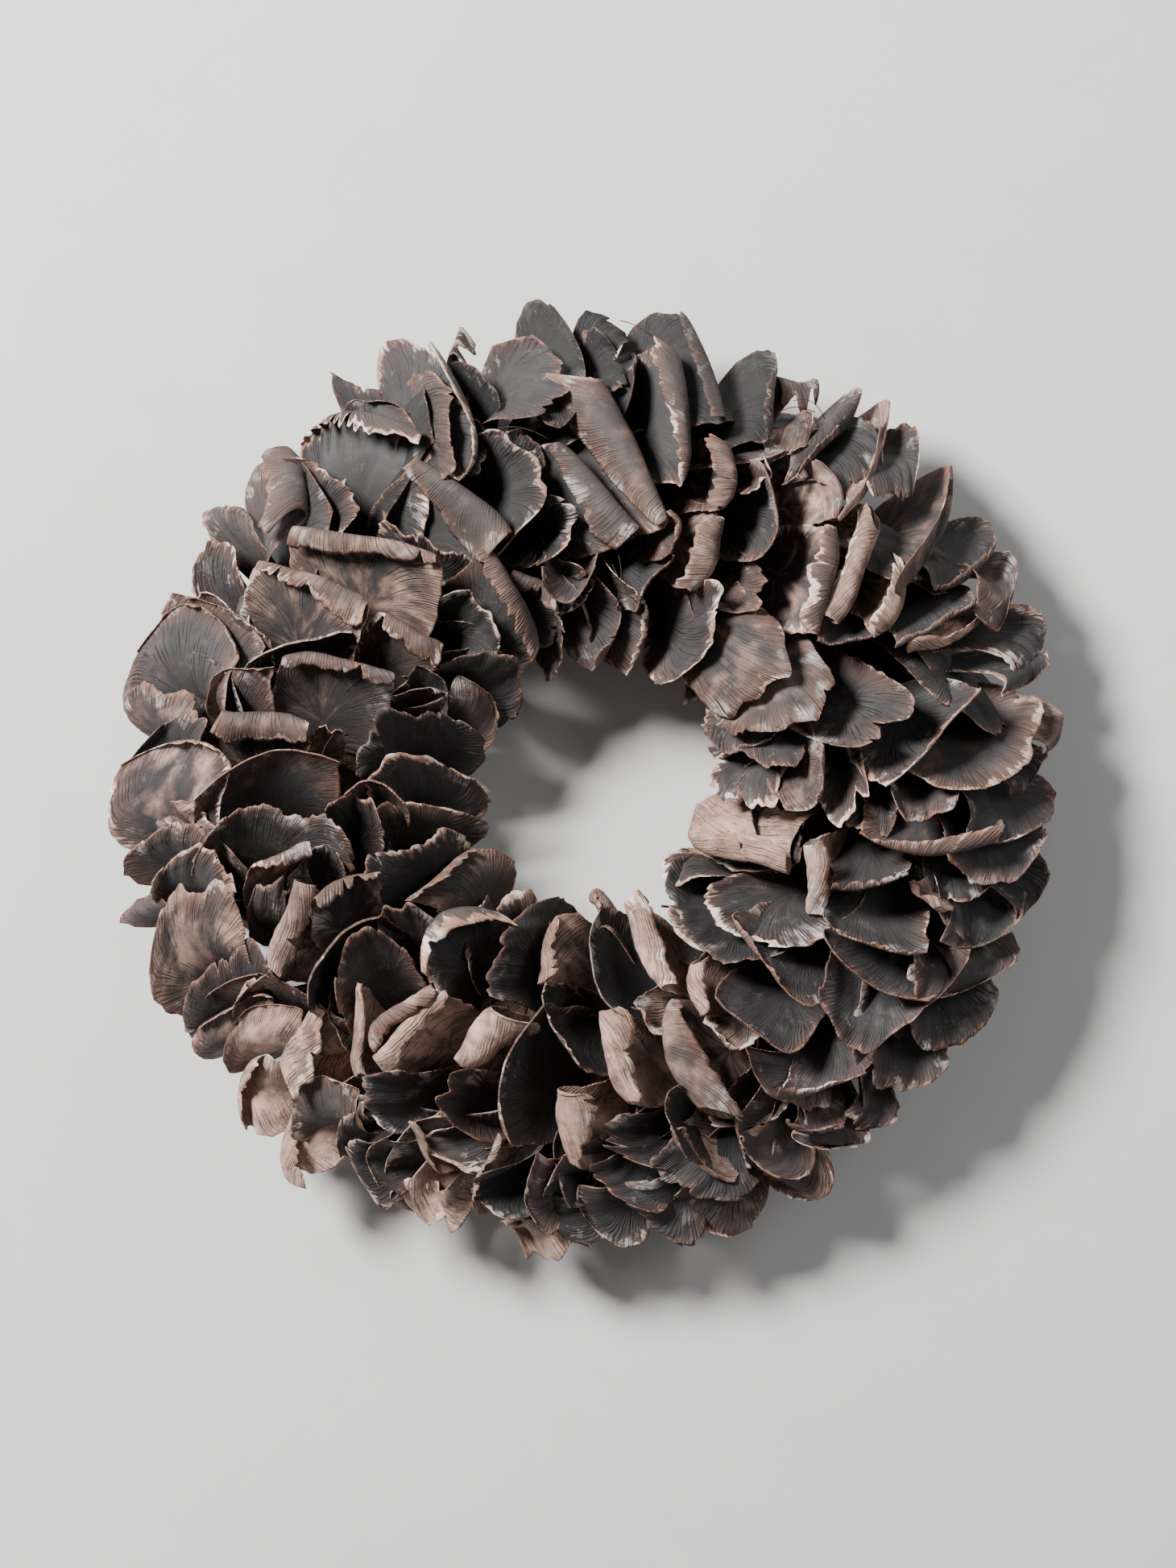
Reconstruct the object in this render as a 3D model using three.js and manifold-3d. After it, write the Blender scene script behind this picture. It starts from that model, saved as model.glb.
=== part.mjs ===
// A wreath of dried palm petals on a ring of straw, lying on its back.
// Millimetres, +Z up and towards the viewer, +X right and +Y up as the wreath is seen.
// The straw ring rests on the ground. Twelve bunches of papery petals, one for each hour, cover it.
// Every petal grows from the padding of its bunch, leans clockwise and towards the viewer,
// and turns its hollow face back and up. Many rims are rolled over that face.
import * as THREE from "three";
import { mergeVertices } from "three/addons/utils/BufferGeometryUtils.js";
import Module from "manifold-3d";

// Driving dimensions
const OVERALL_DIAMETER = 450;
const RING_RADIUS = 130;
const RING_SECTION = 24;
const RING_CENTRE_Z = 22;
const RING_SIDES = 12;
const RING_STEPS = 24;
const SEAT_GAP = 0.3;
const PADDING_INSIDE = 23;
const PADDING_OUTSIDE = 36;
const PADDING_ROWS = 6;
const PADDING_COLUMNS = 2;
const PETAL_THICKNESS = 0.8;
const ROOT_DEPTH = 30;
const ROOT_HALF_WIDTH = 7;
const ROOT_SETBACK = 8;
const HEEL_RISE = 0.6;
const HEEL_SHARE = 0.4;
const WIDE_PETAL = 72;
const ROLL_TOP = 150;
const ROLL_RISE = 0.8;
const SLOW_TEAR = 0.03;
const QUICK_TEAR = 0.018;
const BUNCHES = 12;
const BUNCH_GAP = 1.9;
const FLOOR_CLEARANCE = 1.2;

// Petals bend away from the ring and the ground before they touch: where that starts and how softly
const CLEAR_DEPTH = 31;
const CLEAR_EASE = 5.5;
const FLOOR_EASE = 8;
const SIDE_EASE = 0.6;

// The saddle of padding, in degrees round the ring's section from its outer side
const PADDING_START = -20;
const PADDING_SWEEP = 220;

// Envelope that the rims reach, measured from the middle of the ring's section
const REACH_OUT = 105;
const REACH_IN = 90;
const REACH_UP = 80;
const LEAN = THREE.MathUtils.degToRad(13);
const LEAN_START = 0.28;

// How the places read from the picture become millimetres
const PICTURE_CENTRE_X = 730;
const PICTURE_CENTRE_Y = 975;
const PICTURE_DIAMETER = 1164;
const EYE_HEIGHT = 2000;
const WIDEST_HEIGHT = 57;

// Petals that show: the rim's outer end, middle and inner end and the heel as places in the picture,
// then lift as a share of the envelope, hollow in mm, roll radius in mm and roll angle in degrees
const SEEN_PETALS = [
  // twelve o'clock
  [690, 428, 706, 480, 668, 532, 605, 495, 1, 8, 0, 0],
  [700, 395, 727, 480, 690, 540, 655, 470, 0.9, 10, 3, 60],
  [758, 420, 778, 470, 765, 502, 722, 480, 0.85, 6, 0, 0],
  [745, 402, 775, 415, 790, 440, 735, 440, 0.6, 4, 0, 0],
  [745, 466, 790, 560, 840, 655, 705, 590, 1.08, 5, 11, 205],
  [840, 440, 857, 520, 848, 612, 785, 525, 1, 7, 8, 170],
  [850, 400, 880, 460, 902, 540, 795, 480, 0.95, 8, 6, 170],
  [690, 545, 745, 600, 798, 665, 655, 640, 0.95, 5, 8, 200],
  [690, 608, 716, 650, 690, 698, 650, 660, 0.88, 8, 0, 0],
  [835, 630, 845, 660, 838, 690, 792, 665, 1.03, 4, 4, 120],
  [842, 690, 815, 722, 792, 765, 775, 700, 0.88, 5, 3, 90],
  [790, 725, 800, 780, 777, 838, 752, 745, 0.8, 5, 4, 150],
  [768, 740, 762, 790, 730, 832, 712, 745, 0.85, 6, 6, 120],
  [702, 775, 697, 810, 684, 850, 676, 785, 0.75, 3, 0, 0],
  [735, 720, 700, 750, 668, 722, 705, 680, 0.88, 8, 3, 90],
  [640, 697, 665, 715, 702, 740, 640, 735, 0.85, 5, 5, 150],
  [712, 690, 735, 725, 715, 760, 685, 720, 0.8, 6, 0, 0],
  [665, 720, 697, 770, 688, 800, 640, 760, 0.7, 5, 0, 0],
  [625, 528, 668, 590, 642, 688, 590, 625, 0.95, 8, 0, 0],
  [603, 525, 610, 560, 597, 600, 570, 570, 0.75, 4, 0, 0],
  [640, 530, 668, 547, 683, 578, 635, 580, 0.8, 5, 0, 0],
  // eleven o'clock
  [545, 434, 588, 530, 580, 605, 495, 540, 0.98, 9, 7, 100],
  [556, 460, 566, 530, 573, 602, 500, 560, 1.02, 8, 0, 0],
  [565, 447, 600, 465, 627, 500, 585, 515, 0.85, 6, 0, 0],
  [592, 437, 590, 452, 580, 470, 565, 455, 0.5, 3, 0, 0],
  [424, 478, 452, 488, 487, 500, 450, 515, 0.6, 4, 0, 0],
  [455, 500, 490, 505, 522, 545, 460, 550, 0.85, 4, 4, 120],
  [375, 558, 440, 524, 540, 560, 440, 625, 1, 6, 8, 150],
  [515, 570, 580, 608, 636, 664, 510, 680, 1.03, 6, 9, 200],
  // ten o'clock
  [366, 563, 430, 598, 458, 650, 380, 650, 0.92, 10, 0, 0],
  [352, 558, 375, 605, 378, 655, 325, 690, 1, 5, 11, 190],
  [262, 632, 290, 628, 325, 640, 300, 680, 0.6, 4, 0, 0],
  [246, 700, 270, 668, 303, 680, 285, 750, 0.75, 8, 0, 0],
  [362, 652, 450, 664, 552, 690, 440, 780, 1.05, 6, 5.5, 190],
  [318, 695, 395, 718, 465, 755, 365, 820, 1.02, 7, 6, 190],
  [474, 628, 520, 672, 588, 678, 510, 715, 0.88, 6, 0, 0],
  [592, 678, 640, 735, 668, 815, 575, 790, 0.98, 6, 7, 180],
  [560, 722, 605, 752, 632, 798, 550, 795, 0.88, 8, 0, 0],
  [462, 758, 510, 775, 555, 802, 475, 835, 0.95, 5, 6, 180],
  [565, 798, 635, 815, 655, 870, 565, 865, 0.88, 8, 0, 0],
  [508, 827, 545, 838, 556, 878, 510, 885, 0.85, 8, 2.5, 60],
  [560, 835, 600, 860, 617, 900, 555, 905, 0.83, 4, 5, 90],
  [218, 733, 285, 760, 340, 803, 280, 830, 0.9, 5, 3, 120],
  [250, 733, 290, 752, 345, 798, 300, 815, 0.94, 5, 3, 120],
  [172, 815, 238, 753, 300, 822, 235, 870, 0.95, 8, 4, 150],
  // nine o'clock
  [300, 825, 385, 790, 440, 782, 395, 845, 0.95, 8, 2.5, 60],
  [345, 815, 420, 818, 498, 838, 400, 910, 1, 6, 5, 190],
  [262, 840, 300, 832, 345, 828, 305, 905, 0.95, 6, 4, 100],
  [275, 880, 330, 885, 392, 895, 325, 965, 1.02, 4, 8, 190],
  [178, 842, 215, 848, 262, 885, 215, 925, 0.85, 5, 0, 0],
  [168, 938, 225, 887, 268, 915, 225, 965, 0.9, 8, 0, 0],
  [152, 950, 235, 922, 298, 950, 235, 1040, 1, 5, 4, 120],
  [240, 982, 335, 933, 424, 938, 345, 1015, 1.03, 4, 3, 60],
  [425, 932, 500, 882, 586, 890, 515, 965, 0.95, 9, 0, 0],
  [440, 948, 520, 940, 598, 963, 520, 1010, 0.92, 6, 0, 0],
  [420, 990, 470, 972, 507, 1000, 465, 1015, 0.95, 3, 3, 90],
  [455, 992, 530, 995, 605, 1012, 520, 1040, 0.8, 3, 0, 0],
  [242, 1042, 335, 998, 450, 1036, 340, 1085, 1, 5, 0, 0],
  [395, 1002, 440, 988, 475, 1012, 440, 1050, 0.93, 4, 0, 0],
  [247, 988, 265, 1015, 287, 1042, 245, 1030, 0.85, 2, 0, 0],
  [168, 1045, 225, 1018, 290, 1045, 235, 1085, 0.88, 8, 0, 0],
  [205, 1068, 250, 1047, 308, 1082, 255, 1125, 0.95, 8, 0, 0],
  [308, 1080, 345, 1058, 390, 1045, 350, 1120, 1, 5, 4, 170],
  [362, 1070, 400, 1052, 432, 1062, 400, 1110, 0.85, 5, 0, 0],
  [437, 1080, 500, 1050, 562, 1018, 530, 1115, 0.88, 6, 0, 0],
  [393, 900, 412, 900, 428, 903, 407, 932, 0.93, 2, 0, 0],
  // eight o'clock
  [190, 1168, 235, 1095, 312, 1118, 275, 1210, 1.02, 5, 0, 0],
  [165, 1122, 190, 1105, 212, 1095, 215, 1135, 0.5, 3, 0, 0],
  [315, 1095, 340, 1085, 365, 1085, 345, 1165, 0.85, 5, 0, 0],
  [326, 1200, 343, 1150, 363, 1085, 395, 1175, 1.05, 4, 8, 160],
  [224, 1240, 270, 1190, 335, 1165, 320, 1255, 0.95, 6, 0, 0],
  [297, 1238, 315, 1215, 335, 1203, 335, 1245, 0.98, 3, 0, 0],
  [243, 1275, 300, 1245, 345, 1238, 330, 1290, 0.9, 5, 6, 90],
  [285, 1280, 330, 1250, 380, 1260, 350, 1310, 0.93, 5, 6, 90],
  [383, 1112, 430, 1092, 472, 1075, 440, 1165, 1, 6, 5, 170],
  [378, 1250, 400, 1175, 475, 1130, 455, 1220, 1, 10, 2.5, 60],
  [407, 1222, 440, 1157, 500, 1160, 490, 1250, 0.96, 8, 0, 0],
  [462, 1140, 495, 1118, 545, 1135, 520, 1195, 0.93, 6, 0, 0],
  // seven o'clock
  [440, 1335, 437, 1280, 443, 1218, 465, 1285, 0.95, 3, 4, 200],
  [458, 1300, 480, 1258, 540, 1220, 530, 1290, 0.98, 5, 5, 170],
  [462, 1315, 500, 1275, 556, 1225, 560, 1310, 1, 5, 6, 180],
  [358, 1335, 375, 1285, 400, 1243, 435, 1310, 0.95, 5, 10, 190],
  [425, 1305, 412, 1265, 405, 1222, 450, 1270, 0.85, 5, 0, 0],
  [322, 1398, 312, 1350, 340, 1300, 370, 1350, 0.8, 5, 6, 200],
  [385, 1452, 366, 1410, 385, 1352, 425, 1390, 0.8, 5, 8, 210],
  [362, 1365, 400, 1341, 450, 1355, 435, 1395, 0.9, 4, 3, 120],
  [466, 1398, 449, 1362, 470, 1320, 540, 1370, 1, 6, 0, 0],
  [420, 1405, 430, 1375, 455, 1362, 465, 1400, 0.85, 3, 0, 0],
  [462, 1482, 428, 1425, 445, 1400, 490, 1430, 0.75, 6, 0, 0],
  [470, 1465, 457, 1430, 478, 1403, 535, 1430, 0.9, 8, 2.5, 60],
  [537, 1450, 520, 1420, 503, 1392, 565, 1410, 0.95, 3, 4, 170],
  [530, 1512, 503, 1490, 503, 1452, 545, 1465, 0.7, 4, 4, 150],
  [556, 1514, 548, 1490, 545, 1465, 580, 1475, 0.7, 3, 4, 160],
  [503, 1122, 550, 1085, 592, 1052, 605, 1125, 0.9, 6, 5, 160],
  [522, 1210, 552, 1135, 628, 1140, 600, 1205, 1, 5, 7, 150],
  // six o'clock
  [570, 1408, 541, 1360, 570, 1320, 625, 1370, 1, 8, 0, 0],
  [556, 1318, 588, 1278, 618, 1241, 655, 1310, 1.03, 4, 10, 190],
  [572, 1458, 530, 1425, 533, 1400, 605, 1405, 0.85, 5, 0, 0],
  [582, 1488, 600, 1440, 615, 1402, 640, 1450, 0.9, 5, 3.5, 170],
  [622, 1510, 583, 1480, 608, 1440, 675, 1455, 0.88, 12, 0, 0],
  [672, 1553, 650, 1525, 625, 1512, 695, 1500, 0.5, 4, 5, 150],
  [665, 1520, 652, 1475, 668, 1425, 705, 1465, 0.9, 5, 3, 120],
  [628, 1420, 620, 1350, 668, 1240, 705, 1350, 1.02, 9, 3, 90],
  [597, 1245, 615, 1180, 660, 1113, 690, 1200, 0.95, 8, 0, 0],
  [605, 1125, 635, 1108, 655, 1100, 645, 1155, 0.8, 3, 0, 0],
  [712, 1338, 680, 1265, 665, 1222, 760, 1270, 1, 10, 3, 100],
  [668, 1225, 678, 1180, 688, 1138, 735, 1195, 0.97, 5, 5, 170],
  [765, 1265, 733, 1195, 748, 1125, 820, 1215, 0.97, 14, 2.5, 60],
  [818, 1238, 797, 1185, 768, 1125, 850, 1190, 1.02, 5, 7, 170],
  [738, 1165, 742, 1140, 728, 1117, 775, 1145, 0.9, 3, 4, 150],
  [785, 1375, 752, 1315, 748, 1250, 815, 1310, 1, 4, 8, 170],
  [706, 1450, 699, 1395, 696, 1340, 765, 1390, 1, 4, 10, 170],
  [800, 1448, 742, 1410, 768, 1375, 825, 1400, 0.85, 5, 0, 0],
  [790, 1505, 745, 1470, 722, 1440, 805, 1440, 0.85, 5, 0, 0],
  [815, 1530, 775, 1490, 770, 1450, 845, 1475, 0.65, 4, 0, 0],
  [755, 1538, 722, 1500, 722, 1462, 785, 1480, 0.75, 7, 3, 120],
  [700, 1530, 672, 1500, 685, 1470, 740, 1490, 0.6, 7, 0, 0],
  [708, 1500, 690, 1460, 690, 1400, 735, 1430, 0.8, 5, 2.5, 100],
  // five o'clock
  [820, 1290, 795, 1262, 787, 1240, 850, 1240, 0.95, 4, 4, 90],
  [880, 1388, 830, 1300, 835, 1238, 915, 1300, 1.03, 4, 10, 180],
  [870, 1268, 862, 1230, 856, 1190, 910, 1215, 0.98, 3, 6, 170],
  [925, 1305, 895, 1287, 870, 1265, 925, 1255, 0.9, 3, 4, 120],
  [985, 1313, 930, 1283, 880, 1235, 985, 1215, 0.97, 8, 3, 100],
  [945, 1212, 855, 1165, 818, 1092, 930, 1110, 0.95, 12, 0, 0],
  [955, 1197, 885, 1140, 860, 1108, 985, 1100, 0.92, 7, 0, 0],
  [1000, 1255, 945, 1200, 905, 1135, 1015, 1165, 0.99, 7, 3, 120],
  [845, 1440, 830, 1380, 835, 1345, 885, 1375, 0.93, 6, 3, 60],
  [895, 1470, 850, 1425, 833, 1393, 890, 1395, 0.85, 5, 5, 170],
  [920, 1400, 880, 1395, 880, 1350, 950, 1350, 0.83, 6, 0, 0],
  [915, 1530, 860, 1510, 830, 1480, 905, 1440, 0.62, 5, 4, 130],
  [900, 1500, 840, 1475, 790, 1445, 900, 1410, 0.8, 5, 0, 0],
  [970, 1462, 935, 1440, 918, 1395, 985, 1400, 0.85, 7, 5, 120],
  [1005, 1485, 960, 1465, 930, 1440, 990, 1420, 0.62, 4, 4, 130],
  [1035, 1400, 990, 1405, 975, 1392, 1010, 1365, 0.9, 4, 4, 170],
  [1070, 1418, 1020, 1420, 985, 1402, 1030, 1375, 0.8, 4, 5, 170],
  [1088, 1398, 1055, 1400, 1040, 1370, 1080, 1345, 0.65, 4, 0, 0],
  [960, 1370, 925, 1315, 930, 1300, 1010, 1310, 0.9, 5, 2.5, 60],
  [1075, 1335, 1010, 1355, 965, 1362, 1030, 1280, 0.97, 6, 4, 150],
  // four o'clock
  [1165, 1340, 1120, 1355, 1070, 1352, 1120, 1285, 0.83, 6, 0, 0],
  [1235, 1250, 1190, 1300, 1130, 1300, 1165, 1225, 0.83, 6, 0, 0],
  [1135, 1275, 1065, 1300, 1003, 1255, 1090, 1200, 0.95, 7, 0, 0],
  [1150, 1247, 1060, 1210, 1018, 1155, 1120, 1150, 0.97, 9, 3, 120],
  [1180, 1215, 1150, 1245, 1110, 1220, 1165, 1165, 0.95, 6, 0, 0],
  [1245, 1205, 1195, 1230, 1160, 1240, 1200, 1165, 0.88, 5, 4, 130],
  [1255, 1155, 1205, 1175, 1158, 1168, 1210, 1095, 0.95, 11, 3.5, 140],
  [1150, 1187, 1080, 1180, 1015, 1145, 1090, 1085, 1.02, 11, 3, 120],
  [1158, 1138, 1140, 1110, 1122, 1098, 1165, 1085, 0.95, 3, 4, 150],
  [1130, 1098, 1080, 1102, 1030, 1118, 1080, 1030, 1, 10, 4, 150],
  [1008, 1142, 1001, 1095, 1003, 1040, 1050, 1080, 1.05, 3, 6, 170],
  [985, 1085, 925, 1068, 857, 1050, 945, 1000, 1.03, 4, 8, 170],
  [1000, 1080, 970, 1082, 940, 1050, 975, 1000, 0.85, 10, 0, 0],
  [850, 1110, 825, 1095, 818, 1078, 885, 1070, 0.85, 4, 0, 0],
  [1290, 1100, 1270, 1138, 1245, 1150, 1250, 1080, 0.7, 6, 0, 0],
  [1235, 1108, 1190, 1125, 1160, 1118, 1175, 1060, 0.85, 6, 0, 0],
  // three o'clock
  [1290, 1062, 1230, 1103, 1160, 1062, 1215, 1025, 0.93, 8, 0, 0],
  [1238, 1050, 1150, 1060, 1060, 1042, 1150, 995, 1, 6, 5, 150],
  [1300, 1020, 1240, 1045, 1190, 1035, 1225, 970, 0.9, 8, 4, 120],
  [1195, 1005, 1150, 1020, 1108, 1017, 1130, 935, 1, 8, 0, 0],
  [1310, 888, 1262, 955, 1190, 1000, 1165, 895, 1.02, 9, 0, 0],
  [1303, 905, 1298, 930, 1282, 945, 1275, 895, 0.7, 3, 4, 120],
  [1280, 960, 1262, 990, 1235, 1000, 1245, 940, 0.75, 5, 0, 0],
  [1222, 862, 1175, 905, 1100, 985, 1115, 870, 1, 9, 3, 90],
  [1140, 852, 1112, 905, 1050, 938, 1015, 850, 1.03, 8, 0, 0],
  [1110, 1030, 1085, 1037, 1045, 1030, 1085, 975, 0.88, 5, 0, 0],
  [1083, 980, 1065, 1010, 1030, 1035, 1040, 940, 0.93, 6, 0, 0],
  [1033, 930, 1020, 990, 985, 1010, 980, 925, 0.98, 5, 4, 100],
  [1000, 962, 945, 950, 870, 925, 955, 875, 0.92, 7, 0, 0],
  [975, 1012, 930, 1005, 888, 995, 940, 935, 0.85, 5, 0, 0],
  // two o'clock
  [1047, 845, 990, 895, 903, 918, 945, 820, 1.02, -6, 0, 0],
  [985, 795, 955, 850, 893, 898, 885, 765, 1.02, -6, 0, 0],
  [1100, 785, 1060, 803, 1008, 798, 1045, 750, 0.9, 8, 3, 120],
  [1212, 762, 1165, 778, 1108, 818, 1130, 735, 0.96, 7, 3, 150],
  [1222, 772, 1180, 795, 1130, 815, 1180, 760, 0.93, 3, 4, 170],
  [1250, 740, 1240, 775, 1200, 755, 1205, 710, 0.95, 5, 6, 90],
  [1293, 800, 1285, 835, 1250, 860, 1235, 780, 0.65, 6, 0, 0],
  [1292, 838, 1270, 850, 1235, 868, 1235, 815, 0.75, 4, 3, 60],
  [1178, 598, 1168, 665, 1122, 740, 1130, 650, 1.05, 3, 9, 180],
  [1095, 652, 1072, 715, 1035, 782, 1030, 680, 1.03, 5, 9, 180],
  [1128, 715, 1115, 755, 1085, 798, 1070, 715, 1, 6, 8, 170],
  [1232, 680, 1205, 715, 1150, 738, 1155, 670, 0.93, 9, 4, 150],
  [1137, 590, 1122, 625, 1070, 640, 1080, 560, 0.9, 9, 0, 0],
  [1100, 535, 1078, 600, 1045, 655, 1050, 565, 1, 5, 4, 180],
  // one o'clock
  [960, 438, 958, 490, 945, 555, 892, 510, 0.95, 8, 5, 160],
  [1005, 545, 985, 562, 940, 570, 960, 530, 0.85, 4, 4, 90],
  [1012, 512, 1000, 518, 960, 508, 970, 490, 0.55, 3, 0, 0],
  [1060, 515, 1020, 560, 970, 600, 1005, 530, 0.9, 4, 5, 120],
  [1100, 560, 1080, 600, 1040, 640, 1015, 560, 0.83, 6, 0, 0],
  [955, 572, 965, 640, 952, 698, 900, 640, 0.97, 9, 3, 80],
  [950, 572, 953, 600, 920, 622, 915, 590, 0.93, 4, 0, 0],
  [950, 705, 948, 745, 900, 765, 895, 710, 0.93, 6, 0, 0],
  [1022, 572, 1042, 610, 1042, 650, 980, 620, 1.03, 5, 5.5, 170],
  [1038, 655, 1030, 720, 1015, 790, 955, 710, 1.02, 7, 8, 150],
  [905, 548, 914, 590, 895, 640, 850, 590, 1.05, 7, 8, 160],
  [900, 640, 885, 690, 858, 738, 835, 665, 1, 4, 9, 150],
  [897, 712, 893, 780, 850, 843, 825, 770, 0.97, 9, 0, 0],
];

// Petals left for the fine finish are those with a rim shorter than this,
// where a petal of the outline counts as longer than it is
const SHORTEST_RIM = 42;
const OUTLINE_FROM = 200;
const OUTLINE_BONUS = 10;
const SMALLEST_ROLL = 3.5;
const LARGE_ROLL = 8;

// Rings of low petals that fill the sides: how many, how far back the heel lies round the ring,
// and the heel, the rim's ends and its middle by radius and height
const LOW_RINGS = [
  { count: 18, setback: 58, heel: [184, 36], upper: [182, 66], middle: [206, 38], lower: [193, 3] },
  { count: 12, setback: 30, heel: [82, 36], upper: [86, 64], middle: [63, 38], lower: [74, 4] },
];

const wasm = await Module();
wasm.setup();

// A repeatable random number from 0 to 1 for a petal and a use
function draw(petal, use) {
  const wave = Math.sin(petal * 12.9898 + use * 78.233) * 43758.5453;
  return wave - Math.floor(wave);
}

// Height of the rims at a distance from the middle of the wreath
function rimHeight(distance, lift) {
  const beyond = distance - RING_RADIUS;
  const share = beyond / (beyond > 0 ? REACH_OUT : REACH_IN);
  const height = REACH_UP * Math.sqrt(Math.max(0.04, 1 - share * share));
  return RING_CENTRE_Z + height * lift;
}

// A place in the picture, taken to the height where it lies
function fromPicture(x, y, height) {
  const nearer = (EYE_HEIGHT - height) / (EYE_HEIGHT - WIDEST_HEIGHT);
  const scale = (OVERALL_DIAMETER / PICTURE_DIAMETER) * nearer;
  return new THREE.Vector2((x - PICTURE_CENTRE_X) * scale, (PICTURE_CENTRE_Y - y) * scale);
}

// The rim of a rolled petal starts lower, so that the top of its roll reaches the envelope
function rimPoint(x, y, lift, rollHeight) {
  const distance = fromPicture(x, y, WIDEST_HEIGHT).length();
  const height = rimHeight(distance, lift) - rollHeight;
  const place = fromPicture(x, y, height);
  return new THREE.Vector3(place.x, place.y, height);
}

// The heel of a petal, where its neighbour covers it, lies between the padding and the rims
function heelPoint(x, y) {
  const distance = fromPicture(x, y, WIDEST_HEIGHT).length();
  const height = RING_CENTRE_Z + HEEL_RISE * (rimHeight(distance, 1) - RING_CENTRE_Z);
  const place = fromPicture(x, y, height);
  return new THREE.Vector3(place.x, place.y, height);
}

// The root lies in the padding, below the heel and a little further back
function rootPoint(heel) {
  const across = Math.hypot(heel.x, heel.y) - RING_RADIUS;
  const up = heel.z - RING_CENTRE_Z;
  const share = ROOT_DEPTH / Math.hypot(across, up);
  const angle = Math.atan2(heel.y, heel.x) + ROOT_SETBACK / RING_RADIUS;
  return polar(RING_RADIUS + across * share, angle, RING_CENTRE_Z + up * share);
}

function seenPetal(row, index) {
  const [x1, y1, x2, y2, x3, y3, heelX, heelY, lift, hollow, rollRadius, rollAngle] = row;
  const turn = THREE.MathUtils.degToRad(Math.min(rollAngle, ROLL_TOP));
  const rollHeight = ROLL_RISE * rollRadius * (1 - Math.cos(turn));
  const heel = heelPoint(heelX, heelY);
  return {
    index,
    outer: rimPoint(x1, y1, lift, rollHeight),
    middle: rimPoint(x2, y2, lift, rollHeight),
    inner: rimPoint(x3, y3, lift, rollHeight),
    heel,
    root: rootPoint(heel),
    hollow,
    rollRadius,
    rollAngle: THREE.MathUtils.degToRad(rollAngle),
  };
}

function polar(radius, angle, height) {
  return new THREE.Vector3(radius * Math.cos(angle), radius * Math.sin(angle), height);
}

function lowPetal(ring, step, index) {
  const angle = ((step + 0.5 * draw(index, 1)) / ring.count) * 2 * Math.PI;
  const stretch = 0.94 + 0.1 * draw(index, 2);
  const place = ([radius, height], turn) => {
    const reach = RING_RADIUS + (radius - RING_RADIUS) * stretch;
    return polar(reach, angle + turn, height);
  };
  const heel = place(ring.heel, ring.setback / ring.heel[0]);
  return {
    index,
    outer: place(ring.upper, 0.02),
    middle: place(ring.middle, 0),
    inner: place(ring.lower, 0.05),
    heel,
    root: rootPoint(heel),
    hollow: 5 + 5 * draw(index, 3),
    rollRadius: 4,
    rollAngle: draw(index, 4) > 0.5 ? 1.6 : 0,
  };
}

// How much a petal matters to the form, in mm of rim
function weight(petal) {
  const reach = Math.hypot(petal.middle.x, petal.middle.y);
  return petal.outer.distanceTo(petal.inner) + (reach > OUTLINE_FROM ? OUTLINE_BONUS : 0);
}

function allPetals() {
  const large = SEEN_PETALS.map(seenPetal).filter((petal) => weight(petal) > SHORTEST_RIM);
  let index = SEEN_PETALS.length;
  for (const ring of LOW_RINGS) {
    for (let step = 0; step < ring.count; step += 1) {
      large.push(lowPetal(ring, step, index));
      index += 1;
    }
  }
  return large;
}

// The side that a petal's hollow face looks to
function hollowSide(petal) {
  const chord = petal.inner.clone().sub(petal.outer);
  const axis = petal.middle.clone().sub(petal.heel);
  const side = chord.cross(axis).normalize();
  return side.z < 0 ? side.negate() : side;
}

function rimCurve(petal, t) {
  const slope = petal.inner.clone().sub(petal.outer).multiplyScalar(t / 2);
  const bow = petal.inner.clone().add(petal.outer).multiplyScalar(0.5).sub(petal.middle);
  return petal.middle.clone().add(slope).add(bow.multiplyScalar(t * t));
}

// How far the torn edge comes along its petal, near 1
function tornReach(petal, t) {
  const slow = Math.sin(4.7 * t + 6.28 * draw(petal.index, 5));
  const quick = Math.sin(9.3 * t + 6.28 * draw(petal.index, 6));
  return (1.03 + SLOW_TEAR * slow + QUICK_TEAR * quick) * (1 - 0.1 * t ** 6);
}

// The middle line of a petal runs from its root over the heel to the rim
function middleLine(petal, s) {
  const line = petal.root.clone().multiplyScalar(((s - HEEL_SHARE) * (s - 1)) / HEEL_SHARE);
  line.addScaledVector(petal.heel, (s * (1 - s)) / (HEEL_SHARE * (1 - HEEL_SHARE)));
  return line.addScaledVector(petal.middle, (s * (s - HEEL_SHARE)) / (1 - HEEL_SHARE));
}

// A point of the open blade: s runs from the root to the rim, t across it from -1 to 1
function bladePoint(petal, s, t) {
  const side = hollowSide(petal);
  const chord = petal.inner.clone().sub(petal.outer).normalize();
  const widen = Math.sin((Math.PI / 2) * Math.min(s, 1)) ** 0.5;
  const across = rimCurve(petal, t).sub(petal.middle).multiplyScalar(widen);
  const rootEdge = chord.multiplyScalar(ROOT_HALF_WIDTH * t * (1 - s));
  const dip = petal.hollow * 4 * s * (1 - s) * (1 - 0.4 * t * t);
  const wave = 1.8 * s * s * Math.sin(3.3 * t + 6.28 * draw(petal.index, 7));
  const point = middleLine(petal, s).add(across).add(rootEdge);
  return point.add(side.multiplyScalar(wave - dip));
}

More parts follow.
